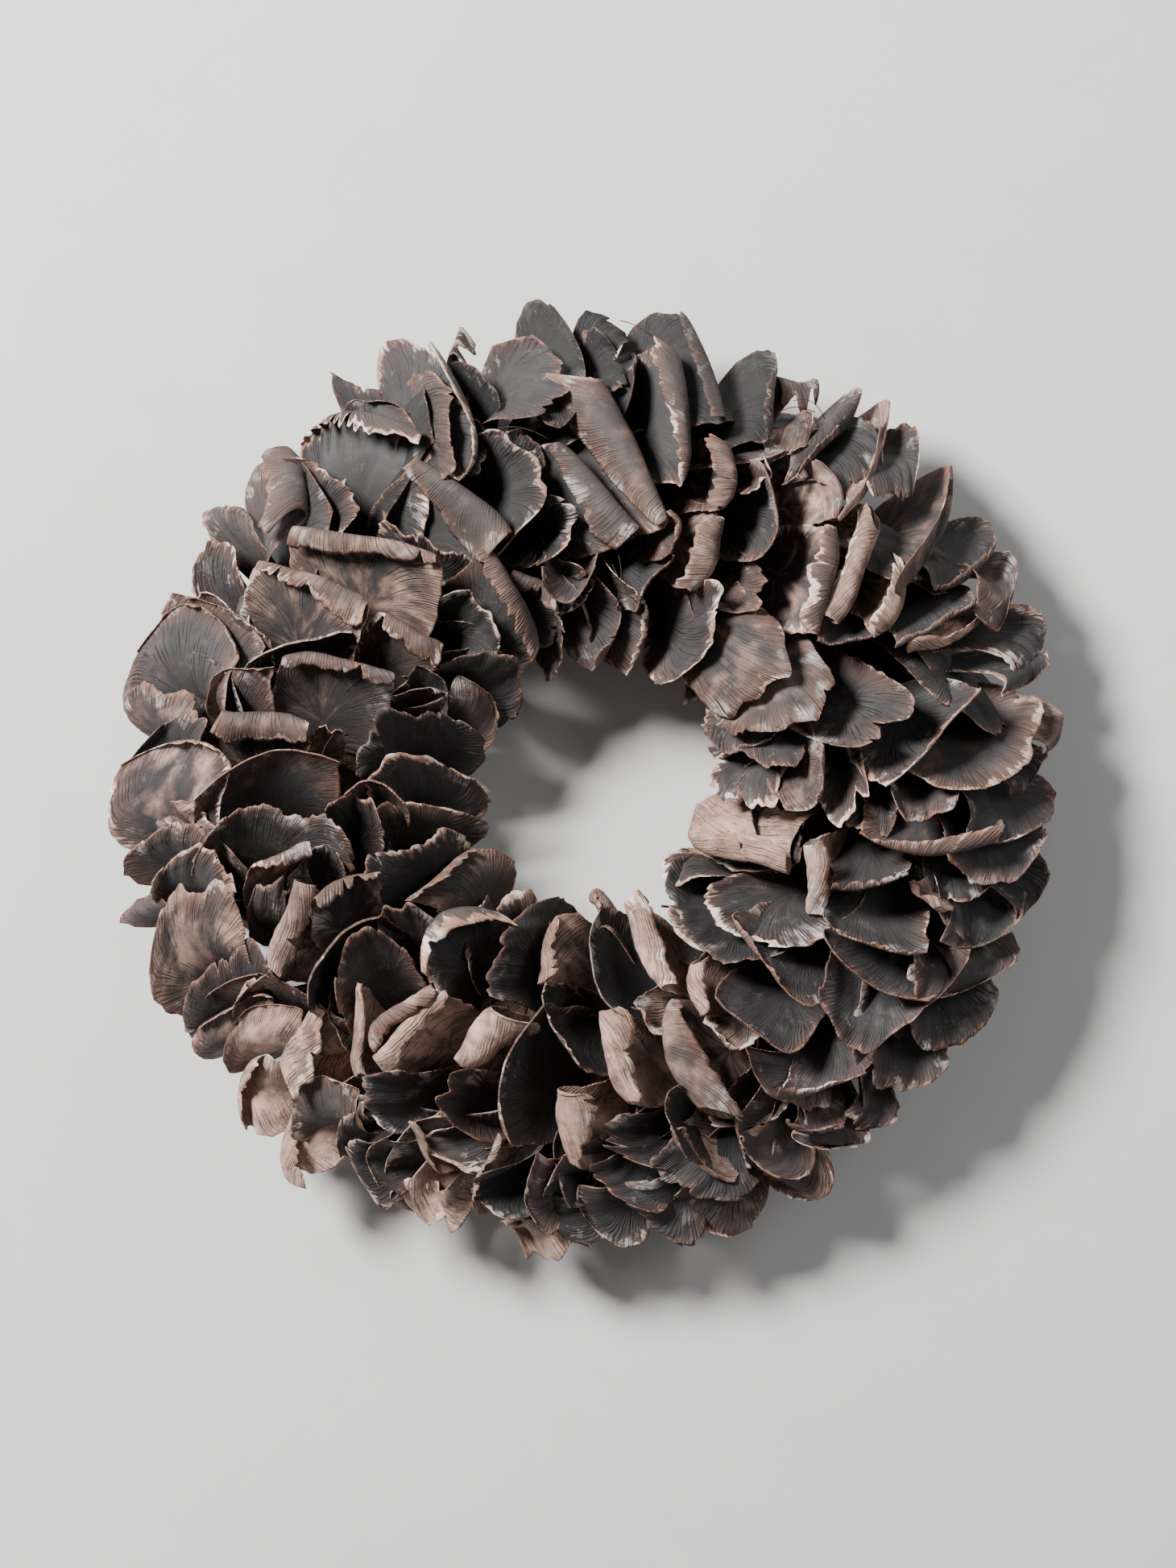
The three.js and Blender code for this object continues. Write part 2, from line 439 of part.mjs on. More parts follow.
// A point of the rolled rim, at an angle round the roll
function rollPoint(petal, turn, t) {
  const rim = bladePoint(petal, 1, t);
  const onward = rim.clone().sub(bladePoint(petal, 0.9, t)).normalize();
  const side = hollowSide(petal);
  const inward = side.addScaledVector(onward, -side.dot(onward)).normalize();
  const radius = petal.rollRadius * (1 + 0.25 * t * (draw(petal.index, 8) - 0.5));
  rim.addScaledVector(onward, radius * Math.sin(turn));
  return rim.addScaledVector(inward, radius * (1 - Math.cos(turn)));
}

// How far round the ring a point is turned by the common lean of the petals
function leanAt(across, up) {
  const share = Math.hypot(across / (across > 0 ? REACH_OUT : REACH_IN), up / REACH_UP);
  return (LEAN * (share - LEAN_START)) / (1 - LEAN_START);
}

// Eases a value to a limit that it never passes
function ease(value, start, limit) {
  if (value <= start) return value;
  return start + (limit - start) * Math.tanh((value - start) / (limit - start));
}

function wrap(angle) {
  return angle - 2 * Math.PI * Math.round(angle / (2 * Math.PI));
}

function bunchAngle(bunch) {
  return Math.PI / 2 - (bunch * 2 * Math.PI) / BUNCHES;
}

// Position of a point round the ring with the lean taken out
function straightAngle(point) {
  const across = Math.hypot(point.x, point.y) - RING_RADIUS;
  return Math.atan2(point.y, point.x) + leanAt(across, point.z - RING_CENTRE_Z);
}

function bunchOf(petal) {
  const turn = Math.PI / 2 - straightAngle(bladePoint(petal, 0.6, 0));
  const step = Math.round((turn * BUNCHES) / (2 * Math.PI));
  return ((step % BUNCHES) + BUNCHES) % BUNCHES;
}

// Bends a point clear of the straw ring, the ground and the neighbouring bunches
function bendClear(point, bunch) {
  const low = FLOOR_CLEARANCE + FLOOR_EASE;
  const height = low - ease(low - point.z, 0, FLOOR_EASE);
  let across = Math.hypot(point.x, point.y) - RING_RADIUS;
  let up = height - RING_CENTRE_Z;
  const depth = Math.hypot(across, up);
  const kept = CLEAR_DEPTH - ease(CLEAR_DEPTH - depth, 0, CLEAR_EASE);
  across *= kept / depth;
  up *= kept / depth;
  const lean = leanAt(across, up);
  const middle = bunchAngle(bunch);
  const aside = wrap(Math.atan2(point.y, point.x) + lean - middle);
  const limit = Math.PI / BUNCHES - BUNCH_GAP / (RING_RADIUS + across);
  const clear = Math.sign(aside) * ease(Math.abs(aside), SIDE_EASE * limit, limit);
  return polar(RING_RADIUS + across, middle + clear - lean, RING_CENTRE_Z + up);
}

// Normals of a grid of points
function gridNormal(grid, row, column) {
  const lastRow = grid.length - 1;
  const lastColumn = grid[0].length - 1;
  const along = grid[Math.min(row + 1, lastRow)][column].clone().sub(grid[Math.max(row - 1, 0)][column]);
  const right = grid[row][Math.min(column + 1, lastColumn)].clone();
  const across = right.sub(grid[row][Math.max(column - 1, 0)]);
  return across.cross(along).normalize();
}

// A closed sheet of even thickness on a grid of points, split alike on both faces
function thickSheet(grid, thickness) {
  const rows = grid.length;
  const columns = grid[0].length;
  const positions = [];
  for (const side of [0.5, -0.5]) {
    for (let row = 0; row < rows; row += 1) {
      for (let column = 0; column < columns; column += 1) {
        const normal = gridNormal(grid, row, column);
        const point = grid[row][column].clone().addScaledVector(normal, side * thickness);
        positions.push(point.x, point.y, point.z);
      }
    }
  }
  const under = rows * columns;
  const faces = [];
  const place = (row, column) => row * columns + column;
  for (let row = 0; row < rows - 1; row += 1) {
    for (let column = 0; column < columns - 1; column += 1) {
      const a = place(row, column);
      const b = place(row, column + 1);
      const c = place(row + 1, column + 1);
      const d = place(row + 1, column);
      faces.push(a, b, c, a, c, d);
      faces.push(a + under, c + under, b + under, a + under, d + under, c + under);
    }
  }
  const edge = [];
  for (let column = 0; column < columns - 1; column += 1) edge.push(place(0, column));
  for (let row = 0; row < rows - 1; row += 1) edge.push(place(row, columns - 1));
  for (let column = columns - 1; column > 0; column -= 1) edge.push(place(rows - 1, column));
  for (let row = rows - 1; row > 0; row -= 1) edge.push(place(row, 0));
  edge.forEach((from, step) => {
    const to = edge[(step + 1) % edge.length];
    faces.push(from, from + under, to + under, from, to + under, to);
  });
  return solid(new Float32Array(positions), new Uint32Array(faces));
}

function solid(vertProperties, triVerts) {
  return new wasm.Manifold(new wasm.Mesh({ numProp: 3, vertProperties, triVerts }));
}

// Only a large roll is worth more than one facet round it
function rollSteps(petal) {
  if (petal.rollRadius < SMALLEST_ROLL) return 0;
  return petal.rollRadius < LARGE_ROLL ? 1 : 2;
}

function petalGrid(petal, bunch) {
  const columns = petal.outer.distanceTo(petal.inner) > WIDE_PETAL ? 3 : 2;
  const rolls = rollSteps(petal);
  const grid = [];
  for (const share of [0, HEEL_SHARE, 1]) {
    const row = [];
    for (let column = 0; column <= columns; column += 1) {
      const t = (2 * column) / columns - 1;
      const reach = rolls ? share : share * tornReach(petal, t);
      row.push(bendClear(bladePoint(petal, reach, t), bunch));
    }
    grid.push(row);
  }
  for (let step = 1; step <= rolls; step += 1) {
    const row = [];
    for (let column = 0; column <= columns; column += 1) {
      const t = (2 * column) / columns - 1;
      const turn = (petal.rollAngle * tornReach(petal, t) * step) / rolls;
      row.push(bendClear(rollPoint(petal, turn, t), bunch));
    }
    grid.push(row);
  }
  return grid;
}

// The padding that the petals of a bunch grow from, a saddle over the straw ring
function padding(bunch) {
  const grid = [];
  const depth = (PADDING_INSIDE + PADDING_OUTSIDE) / 2;
  for (let row = 0; row <= PADDING_ROWS; row += 1) {
    const tilt = THREE.MathUtils.degToRad(PADDING_START + (PADDING_SWEEP * row) / PADDING_ROWS);
    const across = depth * Math.cos(tilt);
    const up = depth * Math.sin(tilt);
    const half = Math.PI / BUNCHES - BUNCH_GAP / (RING_RADIUS + across);
    const line = [];
    for (let column = 0; column <= PADDING_COLUMNS; column += 1) {
      const aside = half * ((2 * column) / PADDING_COLUMNS - 1);
      const angle = bunchAngle(bunch) + aside - leanAt(across, up);
      line.push(polar(RING_RADIUS + across, angle, RING_CENTRE_Z + up));
    }
    grid.push(line);
  }
  return thickSheet(grid, PADDING_OUTSIDE - PADDING_INSIDE);
}

// Keeps the outer shell of the largest piece: sealed hollows are filled and scraps dropped
function largestShell(joined) {
  const mesh = joined.getMesh();
  const parent = Array.from({ length: mesh.numVert }, (_, vertex) => vertex);
  const find = (vertex) => {
    let top = vertex;
    while (parent[top] !== top) top = parent[top];
    parent[vertex] = top;
    return top;
  };
  for (let face = 0; face < mesh.triVerts.length; face += 3) {
    const top = find(mesh.triVerts[face]);
    parent[find(mesh.triVerts[face + 1])] = top;
    parent[find(mesh.triVerts[face + 2])] = top;
  }
  const shells = new Map();
  for (let face = 0; face < mesh.triVerts.length; face += 3) {
    const key = find(mesh.triVerts[face]);
    if (!shells.has(key)) shells.set(key, []);
    shells.get(key).push(...mesh.triVerts.slice(face, face + 3));
  }
  const largest = [...shells.values()].reduce((best, next) => (next.length > best.length ? next : best));
  const geometry = new THREE.BufferGeometry();
  const positions = [];
  for (const vertex of largest) {
    positions.push(...mesh.vertProperties.slice(vertex * mesh.numProp, vertex * mesh.numProp + 3));
  }
  geometry.setAttribute("position", new THREE.Float32BufferAttribute(positions, 3));
  return mergeVertices(geometry, 1e-4);
}

// A ring with a round section, cut flat underneath at a height
function roundRing(section, lowest) {
  const profile = [];
  for (let side = 0; side <= RING_SIDES; side += 1) {
    const angle = ((side + 0.5) / RING_SIDES) * 2 * Math.PI - Math.PI / 2;
    const height = Math.max(lowest, RING_CENTRE_Z + section * Math.sin(angle));
    profile.push(new THREE.Vector2(RING_RADIUS + section * Math.cos(angle), height));
  }
  const geometry = new THREE.LatheGeometry(profile, RING_STEPS);
  return geometry.rotateX(Math.PI / 2);
}

function solidOf(geometry) {
  const bare = geometry.clone();
  bare.deleteAttribute("normal");
  bare.deleteAttribute("uv");
  const merged = mergeVertices(bare, 1e-3);
  return solid(merged.attributes.position.array, new Uint32Array(merged.index.array));
}

// The room that the straw ring takes, with the gap round it
const ringRoom = solidOf(roundRing(RING_SECTION + SEAT_GAP, -RING_SECTION));

function bunchGeometry(petals, bunch) {
  const pieces = [padding(bunch)];
  for (const petal of petals) {
    pieces.push(thickSheet(petalGrid(petal, bunch), PETAL_THICKNESS));
  }
  return largestShell(wasm.Manifold.union(pieces).subtract(ringRoom));
}

const petalMaterial = new THREE.MeshStandardMaterial({ color: 0x6f6560, roughness: 0.85, metalness: 0 });
const strawMaterial = new THREE.MeshStandardMaterial({ color: 0x8a7350, roughness: 0.95, metalness: 0 });

const wreath = new THREE.Group();
const ring = new THREE.Mesh(roundRing(RING_SECTION, 0), strawMaterial);
ring.name = "straw_ring";
wreath.add(ring);

const bunches = Array.from({ length: BUNCHES }, () => []);
for (const petal of allPetals()) bunches[bunchOf(petal)].push(petal);
bunches.forEach((petals, bunch) => {
  const mesh = new THREE.Mesh(bunchGeometry(petals, bunch), petalMaterial);
  const hour = bunch === 0 ? 12 : bunch;
  mesh.name = `petals_${String(hour).padStart(2, "0")}`;
  wreath.add(mesh);
});

// The origin is under the middle of the whole wreath, on the ground
const box = new THREE.Box3().setFromObject(wreath);
const centre = box.getCenter(new THREE.Vector3());
wreath.position.set(-centre.x, -centre.y, -box.min.z);

export default wreath;
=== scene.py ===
import math

import bpy
import numpy as np
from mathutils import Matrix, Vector


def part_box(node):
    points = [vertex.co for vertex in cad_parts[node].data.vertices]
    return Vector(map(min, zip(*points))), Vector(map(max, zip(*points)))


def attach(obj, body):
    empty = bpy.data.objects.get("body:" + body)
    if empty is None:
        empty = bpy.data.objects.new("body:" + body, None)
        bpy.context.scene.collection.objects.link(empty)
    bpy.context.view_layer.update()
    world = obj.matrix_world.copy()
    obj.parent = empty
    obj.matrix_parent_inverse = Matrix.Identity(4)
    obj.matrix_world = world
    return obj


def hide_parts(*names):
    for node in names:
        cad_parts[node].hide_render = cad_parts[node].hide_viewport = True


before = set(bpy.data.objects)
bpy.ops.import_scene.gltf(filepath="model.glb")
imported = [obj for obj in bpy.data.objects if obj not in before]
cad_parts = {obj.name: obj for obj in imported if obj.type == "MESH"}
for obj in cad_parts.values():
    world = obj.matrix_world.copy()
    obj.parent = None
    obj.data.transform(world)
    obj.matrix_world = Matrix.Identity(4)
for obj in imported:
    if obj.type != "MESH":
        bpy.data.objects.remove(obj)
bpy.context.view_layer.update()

MM = 0.001

# The same values as in the part, with lengths in mm
OVERALL_DIAMETER = 450
RING_RADIUS = 130
RING_SECTION = 24
RING_CENTRE_Z = 22
PADDING_OUTSIDE = 36
ROOT_DEPTH = 30
ROOT_HALF_WIDTH = 7
ROOT_SETBACK = 8
HEEL_RISE = 0.6
HEEL_SHARE = 0.4
BUNCHES = 12
FLOOR_CLEARANCE = 1.2
REACH_OUT = 105
REACH_IN = 90
REACH_UP = 80
LEAN = math.radians(13)
LEAN_START = 0.28

# The picture: its size, where the wreath's middle is in it, how wide the wreath is, and the eye's height
PICTURE_WIDTH = 1460
PICTURE_HEIGHT = 1947
PICTURE_CENTRE_X = 730
PICTURE_CENTRE_Y = 975
PICTURE_DIAMETER = 1164
EYE_HEIGHT = 2000
WIDEST_HEIGHT = 57
SENSOR = 36

# The studio in metres and watts: where the lights stand, how wide they are and where they point, and
# how far the floor reaches
KEY_PLACE = (-1.45, 1.15, 1.85)
KEY_SIZE = 0.77
KEY_POWER = 184
KEY_COLOUR = (1, 0.99, 0.98)
FILL_PLACE = (1.2, 0.6, 1.1)
FILL_SIZE = 0.8
FILL_POWER = 7
FILL_COLOUR = (0.95, 0.97, 1)
LIGHT_TARGET = (0, 0, 0.04)
SKY_COLOUR = (1, 0.97, 0.95, 1)
SKY_STRENGTH = 0.16
FLOOR_REACH = 12

# Fineness of a petal, and how thick it is in the middle and at its edge, in mm
COLUMN_STEP = 1.2
ROW_STEP = 3.5
ROLL_STEP = 2.4
PETAL_THICKNESS = 0.55
EDGE_THICKNESS = 0.3
EDGE_TAPER = 5

# How wide a roll is against the part's, which share of its height the rim is lowered by, and up to which
# roll angle in degrees
ROLL_SIZE = 0.9
ROLL_SINK = 0.8
SINKING_ANGLE = 150

# Where the ribs of a petal spread from, as a share of its length, and from which roll angle in radians
# and tint on they run along the roll instead
FAN_START = 0.25
SIDEWAYS_ROLL = 2.6
SIDEWAYS_TINT = 0.84

# The petal at eleven o'clock whose rim is split into fingers, their depth and how wide one is, in mm
FRINGED_PETAL = 27
FINGER_DEPTH = 11
FINGER_WIDTH = 1.7

# How far from the ground and from the middle of the ring's section petals begin to bend away, in mm
GROUND_BEND = 8
RING_BEND_START = 31
RING_BEND = 5.5

# The padding: how many rows and columns, how far round the section it reaches in degrees, how deep it
# goes, and the strands that lie in it
PADDING_ROWS = 32
PADDING_COLUMNS = 22
PADDING_FROM = -20
PADDING_TO = 200
PADDING_INSIDE = 25.6
PADDING_SINK = 2.5
STRANDS = 90
STRAND_DEPTH = 33.5
STRAND_RADIUS = 0.3
FIBRE_RADIUS = 0.28

# The straw ring: a core under layers of straws, wound with twine
CORE_SECTION = 21.6
CORE_STEPS = 144
CORE_SIDES = 28
STRAWS = 330
STRAWS_ROUND = 66
STRAW_STEPS = 16
TWINE_TURNS = 42
TWINE_TURN_STEPS = 26
TWINE_TURN_LENGTH = 150
TWINE_RADIUS = 0.6
TUBE_SIDES = 4

# Petals that show: the rim's outer end, middle and inner end and the heel as places in the picture, then lift
# as a share of the envelope, hollow in mm, roll radius in mm, roll angle in degrees, and tint, which makes a
# petal warm and cream when high and darkens it when low, partly as painted shade
SEEN_PETALS = [
    # twelve o'clock
    (690, 428, 706, 480, 668, 532, 605, 495, 1, 8, 0, 0, 0.4),
    (700, 395, 727, 480, 690, 540, 655, 470, 0.9, 10, 3, 60, 0.15),
    (758, 420, 778, 470, 765, 502, 722, 480, 0.85, 6, 0, 0, 0.15),
    (745, 402, 775, 415, 790, 440, 735, 440, 0.6, 4, 0, 0, 0.18),
    (745, 466, 790, 560, 840, 655, 705, 590, 1.08, 5, 11, 205, 0.74),
    (840, 440, 857, 520, 848, 612, 785, 525, 1, 7, 8, 170, 0.45),
    (850, 400, 880, 460, 902, 540, 795, 480, 0.95, 8, 6, 170, 0.2),
    (690, 545, 745, 600, 798, 665, 655, 640, 0.95, 5, 8, 200, 0.45),
    (690, 608, 716, 650, 690, 698, 650, 660, 0.88, 8, 0, 0, 0.35),
    (835, 630, 845, 660, 838, 690, 792, 665, 1.03, 4, 4, 120, 0.65),
    (842, 690, 815, 722, 792, 765, 775, 700, 0.88, 5, 3, 90, 0.45),
    (790, 725, 800, 780, 777, 838, 752, 745, 0.8, 5, 4, 150, 0.65),
    (768, 740, 762, 790, 730, 832, 712, 745, 0.85, 6, 6, 120, 0.55),
    (702, 775, 697, 810, 684, 850, 676, 785, 0.75, 3, 0, 0, 0.55),
    (735, 720, 700, 750, 668, 722, 705, 680, 0.88, 8, 3, 90, 0.45),
    (640, 697, 665, 715, 702, 740, 640, 735, 0.85, 5, 5, 150, 0.45),
    (712, 690, 735, 725, 715, 760, 685, 720, 0.8, 6, 0, 0, 0.35),
    (665, 720, 697, 770, 688, 800, 640, 760, 0.7, 5, 0, 0, 0.25),
    (625, 528, 668, 590, 642, 688, 590, 625, 0.95, 8, 0, 0, 0.35),
    (603, 525, 610, 560, 597, 600, 570, 570, 0.75, 4, 0, 0, 0.25),
    (640, 530, 668, 547, 683, 578, 635, 580, 0.8, 5, 0, 0, 0.25),
    # eleven o'clock
    (545, 434, 588, 530, 580, 605, 495, 540, 0.98, 9, 7, 100, 0.45),
    (556, 460, 566, 530, 573, 602, 500, 560, 1.02, 8, 0, 0, 0.7),
    (565, 447, 600, 465, 627, 500, 585, 515, 0.85, 6, 0, 0, 0.15),
    (592, 437, 590, 452, 580, 470, 565, 455, 0.5, 3, 0, 0, 0.25),
    (424, 478, 452, 488, 487, 500, 450, 515, 0.6, 4, 0, 0, 0.35),
    (455, 500, 490, 505, 522, 545, 460, 550, 0.85, 4, 4, 120, 0.55),
    (375, 558, 440, 524, 540, 560, 440, 625, 1, 6, 10, 150, 0.45),
    (515, 570, 580, 608, 636, 664, 510, 680, 1.03, 6, 9, 200, 0.45),
    # ten o'clock
    (366, 563, 430, 598, 458, 650, 380, 650, 0.92, 10, 0, 0, 0.5),
    (352, 558, 375, 605, 378, 655, 325, 690, 1, 5, 11, 190, 0.65),
    (262, 632, 290, 628, 325, 640, 300, 680, 0.6, 4, 0, 0, 0.55),
    (246, 700, 270, 668, 303, 680, 285, 750, 0.75, 8, 0, 0, 0.5),
    (362, 652, 450, 664, 552, 690, 440, 780, 1.05, 6, 5.5, 190, 0.78),
    (318, 695, 395, 718, 465, 755, 365, 820, 1.02, 7, 6, 190, 0.75),
    (474, 628, 520, 672, 588, 678, 510, 715, 0.88, 6, 0, 0, 0.5),
    (592, 678, 640, 735, 668, 815, 575, 790, 0.98, 6, 7, 180, 0.6),
    (560, 722, 605, 752, 632, 798, 550, 795, 0.88, 8, 0, 0, 0.35),
    (462, 758, 510, 775, 555, 802, 475, 835, 0.95, 5, 6, 180, 0.7),
    (565, 798, 635, 815, 655, 870, 565, 865, 0.88, 8, 0, 0, 0.4),
    (508, 827, 545, 838, 556, 878, 510, 885, 0.85, 8, 2.5, 60, 0.3),
    (560, 835, 600, 860, 617, 900, 555, 905, 0.83, 4, 5, 90, 0.65),
    (218, 733, 285, 760, 340, 803, 280, 830, 0.9, 5, 3, 120, 0.6),
    (250, 733, 290, 752, 345, 798, 300, 815, 0.94, 5, 3, 120, 0.55),
    (172, 815, 238, 753, 300, 822, 235, 870, 0.95, 8, 4, 150, 0.6),
    # nine o'clock
    (300, 825, 385, 790, 440, 782, 395, 845, 0.95, 8, 2.5, 60, 0.35),
    (345, 815, 420, 818, 498, 838, 400, 910, 1, 6, 5, 190, 0.7),
    (262, 840, 300, 832, 345, 828, 305, 905, 0.95, 6, 4, 100, 0.7),
    (275, 880, 330, 885, 392, 895, 325, 965, 1.02, 4, 8, 190, 0.72),
    (178, 842, 215, 848, 262, 885, 215, 925, 0.85, 5, 0, 0, 0.75),
    (168, 938, 225, 887, 268, 915, 225, 965, 0.9, 8, 0, 0, 0.35),
    (152, 950, 235, 922, 298, 950, 235, 1040, 1, 5, 4, 120, 0.78),
    (240, 982, 335, 933, 424, 938, 345, 1015, 1.03, 4, 3, 60, 0.68),
    (425, 932, 500, 882, 586, 890, 515, 965, 0.95, 9, 0, 0, 0.35),
    (440, 948, 520, 940, 598, 963, 520, 1010, 0.92, 6, 0, 0, 0.55),
    (420, 990, 470, 972, 507, 1000, 465, 1015, 0.95, 3, 3, 90, 0.6),
    (455, 992, 530, 995, 605, 1012, 520, 1040, 0.8, 3, 0, 0, 0.5),
    (242, 1042, 335, 998, 450, 1036, 340, 1085, 1, 5, 0, 0, 0.6),
    (395, 1002, 440, 988, 475, 1012, 440, 1050, 0.93, 4, 0, 0, 0.5),
    (247, 988, 265, 1015, 287, 1042, 245, 1030, 0.85, 2, 0, 0, 0.8),
    (168, 1045, 225, 1018, 290, 1045, 235, 1085, 0.88, 8, 0, 0, 0.6),
    (205, 1068, 250, 1047, 308, 1082, 255, 1125, 0.95, 8, 0, 0, 0.5),
    (308, 1080, 345, 1058, 390, 1045, 350, 1120, 1, 5, 4, 170, 0.8),
    (362, 1070, 400, 1052, 432, 1062, 400, 1110, 0.85, 5, 0, 0, 0.35),
    (437, 1080, 500, 1050, 562, 1018, 530, 1115, 0.88, 6, 0, 0, 0.3),
    (393, 900, 412, 900, 428, 903, 407, 932, 0.93, 2, 0, 0, 0.9),
    # eight o'clock
    (190, 1168, 235, 1095, 312, 1118, 275, 1210, 1.02, 5, 0, 0, 0.8),
    (165, 1122, 190, 1105, 212, 1095, 215, 1135, 0.5, 3, 0, 0, 0.5),
    (315, 1095, 340, 1085, 365, 1085, 345, 1165, 0.85, 5, 0, 0, 0.4),
    (326, 1200, 343, 1150, 363, 1085, 395, 1175, 1.05, 4, 8, 160, 0.85),
    (224, 1240, 270, 1190, 335, 1165, 320, 1255, 0.95, 6, 0, 0, 0.55),
    (297, 1238, 315, 1215, 335, 1203, 335, 1245, 0.98, 3, 0, 0, 0.85),
    (243, 1275, 300, 1245, 345, 1238, 330, 1290, 0.9, 5, 6, 90, 0.75),
    (285, 1280, 330, 1250, 380, 1260, 350, 1310, 0.93, 5, 6, 90, 0.8),
    (383, 1112, 430, 1092, 472, 1075, 440, 1165, 1, 6, 5, 170, 0.6),
    (378, 1250, 400, 1175, 475, 1130, 455, 1220, 1, 10, 2.5, 60, 0.3),
    (407, 1222, 440, 1157, 500, 1160, 490, 1250, 0.96, 8, 0, 0, 0.5),
    (462, 1140, 495, 1118, 545, 1135, 520, 1195, 0.93, 6, 0, 0, 0.5),
    # seven o'clock
    (440, 1335, 437, 1280, 443, 1218, 465, 1285, 0.95, 3, 4, 200, 0.95),
    (458, 1300, 480, 1258, 540, 1220, 530, 1290, 0.98, 5, 5, 170, 0.8),
    (462, 1315, 500, 1275, 556, 1225, 560, 1310, 1, 5, 6, 180, 0.9),
    (358, 1335, 375, 1285, 400, 1243, 435, 1310, 0.95, 5, 10, 190, 0.85),
    (425, 1305, 412, 1265, 405, 1222, 450, 1270, 0.85, 5, 0, 0, 0.4),
    (322, 1398, 312, 1350, 340, 1300, 370, 1350, 0.8, 5, 6, 200, 1),
    (385, 1452, 366, 1410, 385, 1352, 425, 1390, 0.8, 5, 8, 210, 1),
    (362, 1365, 400, 1341, 450, 1355, 435, 1395, 0.9, 4, 3, 120, 0.6),
    (466, 1398, 449, 1362, 470, 1320, 540, 1370, 1, 6, 0, 0, 0.35),
    (420, 1405, 430, 1375, 455, 1362, 465, 1400, 0.85, 3, 0, 0, 0.5),
    (462, 1482, 428, 1425, 445, 1400, 490, 1430, 0.75, 6, 0, 0, 0.3),
    (470, 1465, 457, 1430, 478, 1403, 535, 1430, 0.9, 8, 2.5, 60, 0.35),
    (537, 1450, 520, 1420, 503, 1392, 565, 1410, 0.95, 3, 4, 170, 0.9),
    (530, 1512, 503, 1490, 503, 1452, 545, 1465, 0.7, 4, 4, 150, 0.95),
    (556, 1514, 548, 1490, 545, 1465, 580, 1475, 0.7, 3, 4, 160, 0.95),
    (503, 1122, 550, 1085, 592, 1052, 605, 1125, 0.9, 6, 5, 160, 0.7),
    (522, 1210, 552, 1135, 628, 1140, 600, 1205, 1, 5, 7, 150, 0.5),
    # six o'clock
    (570, 1408, 541, 1360, 570, 1320, 625, 1370, 1, 8, 0, 0, 0.55),
    (556, 1318, 588, 1278, 618, 1241, 655, 1310, 1.03, 4, 10, 190, 0.85),
    (572, 1458, 530, 1425, 533, 1400, 605, 1405, 0.85, 5, 0, 0, 0.5),
    (582, 1488, 600, 1440, 615, 1402, 640, 1450, 0.9, 5, 3.5, 170, 0.85),
    (622, 1510, 583, 1480, 608, 1440, 675, 1455, 0.88, 12, 0, 0, 0.2),
    (672, 1553, 650, 1525, 625, 1512, 695, 1500, 0.5, 4, 5, 150, 0.9),
    (665, 1520, 652, 1475, 668, 1425, 705, 1465, 0.9, 5, 3, 120, 0.7),
    (628, 1420, 620, 1350, 668, 1240, 705, 1350, 1.02, 9, 3, 90, 0.35),
    (597, 1245, 615, 1180, 660, 1113, 690, 1200, 0.95, 8, 0, 0, 0.35),
    (605, 1125, 635, 1108, 655, 1100, 645, 1155, 0.8, 3, 0, 0, 0.7),
    (712, 1338, 680, 1265, 665, 1222, 760, 1270, 1, 10, 3, 100, 0.3),
    (668, 1225, 678, 1180, 688, 1138, 735, 1195, 0.97, 5, 5, 170, 0.85),
    (765, 1265, 733, 1195, 748, 1125, 820, 1215, 0.97, 14, 2.5, 60, 0.25),
    (818, 1238, 797, 1185, 768, 1125, 850, 1190, 1.02, 5, 7, 170, 0.9),
    (738, 1165, 742, 1140, 728, 1117, 775, 1145, 0.9, 3, 4, 150, 0.85),
    (785, 1375, 752, 1315, 748, 1250, 815, 1310, 1, 4, 8, 170, 0.95),
    (706, 1450, 699, 1395, 696, 1340, 765, 1390, 1, 4, 10, 170, 1),
    (800, 1448, 742, 1410, 768, 1375, 825, 1400, 0.85, 5, 0, 0, 0.4),
    (790, 1505, 745, 1470, 722, 1440, 805, 1440, 0.85, 5, 0, 0, 0.45),
    (815, 1530, 775, 1490, 770, 1450, 845, 1475, 0.65, 4, 0, 0, 0.4),
    (755, 1538, 722, 1500, 722, 1462, 785, 1480, 0.75, 7, 3, 120, 0.4),
    (700, 1530, 672, 1500, 685, 1470, 740, 1490, 0.6, 7, 0, 0, 0.3),
    (708, 1500, 690, 1460, 690, 1400, 735, 1430, 0.8, 5, 2.5, 100, 0.3),
    # five o'clock
    (820, 1290, 795, 1262, 787, 1240, 850, 1240, 0.95, 4, 4, 90, 0.85),
    (880, 1388, 830, 1300, 835, 1238, 915, 1300, 1.03, 4, 10, 180, 0.8),
    (870, 1268, 862, 1230, 856, 1190, 910, 1215, 0.98, 3, 6, 170, 0.95),
    (925, 1305, 895, 1287, 870, 1265, 925, 1255, 0.9, 3, 4, 120, 0.8),
    (985, 1313, 930, 1283, 880, 1235, 985, 1215, 0.97, 8, 3, 100, 0.4),
    (945, 1212, 855, 1165, 818, 1092, 930, 1110, 0.95, 12, 0, 0, 0.3),
    (955, 1197, 885, 1140, 860, 1108, 985, 1100, 0.92, 7, 0, 0, 0.6),
    (1000, 1255, 945, 1200, 905, 1135, 1015, 1165, 0.99, 7, 3, 120, 0.5),
    (845, 1440, 830, 1380, 835, 1345, 885, 1375, 0.93, 6, 3, 60, 0.35),
    (895, 1470, 850, 1425, 833, 1393, 890, 1395, 0.85, 5, 5, 170, 0.9),
    (920, 1400, 880, 1395, 880, 1350, 950, 1350, 0.83, 6, 0, 0, 0.4),
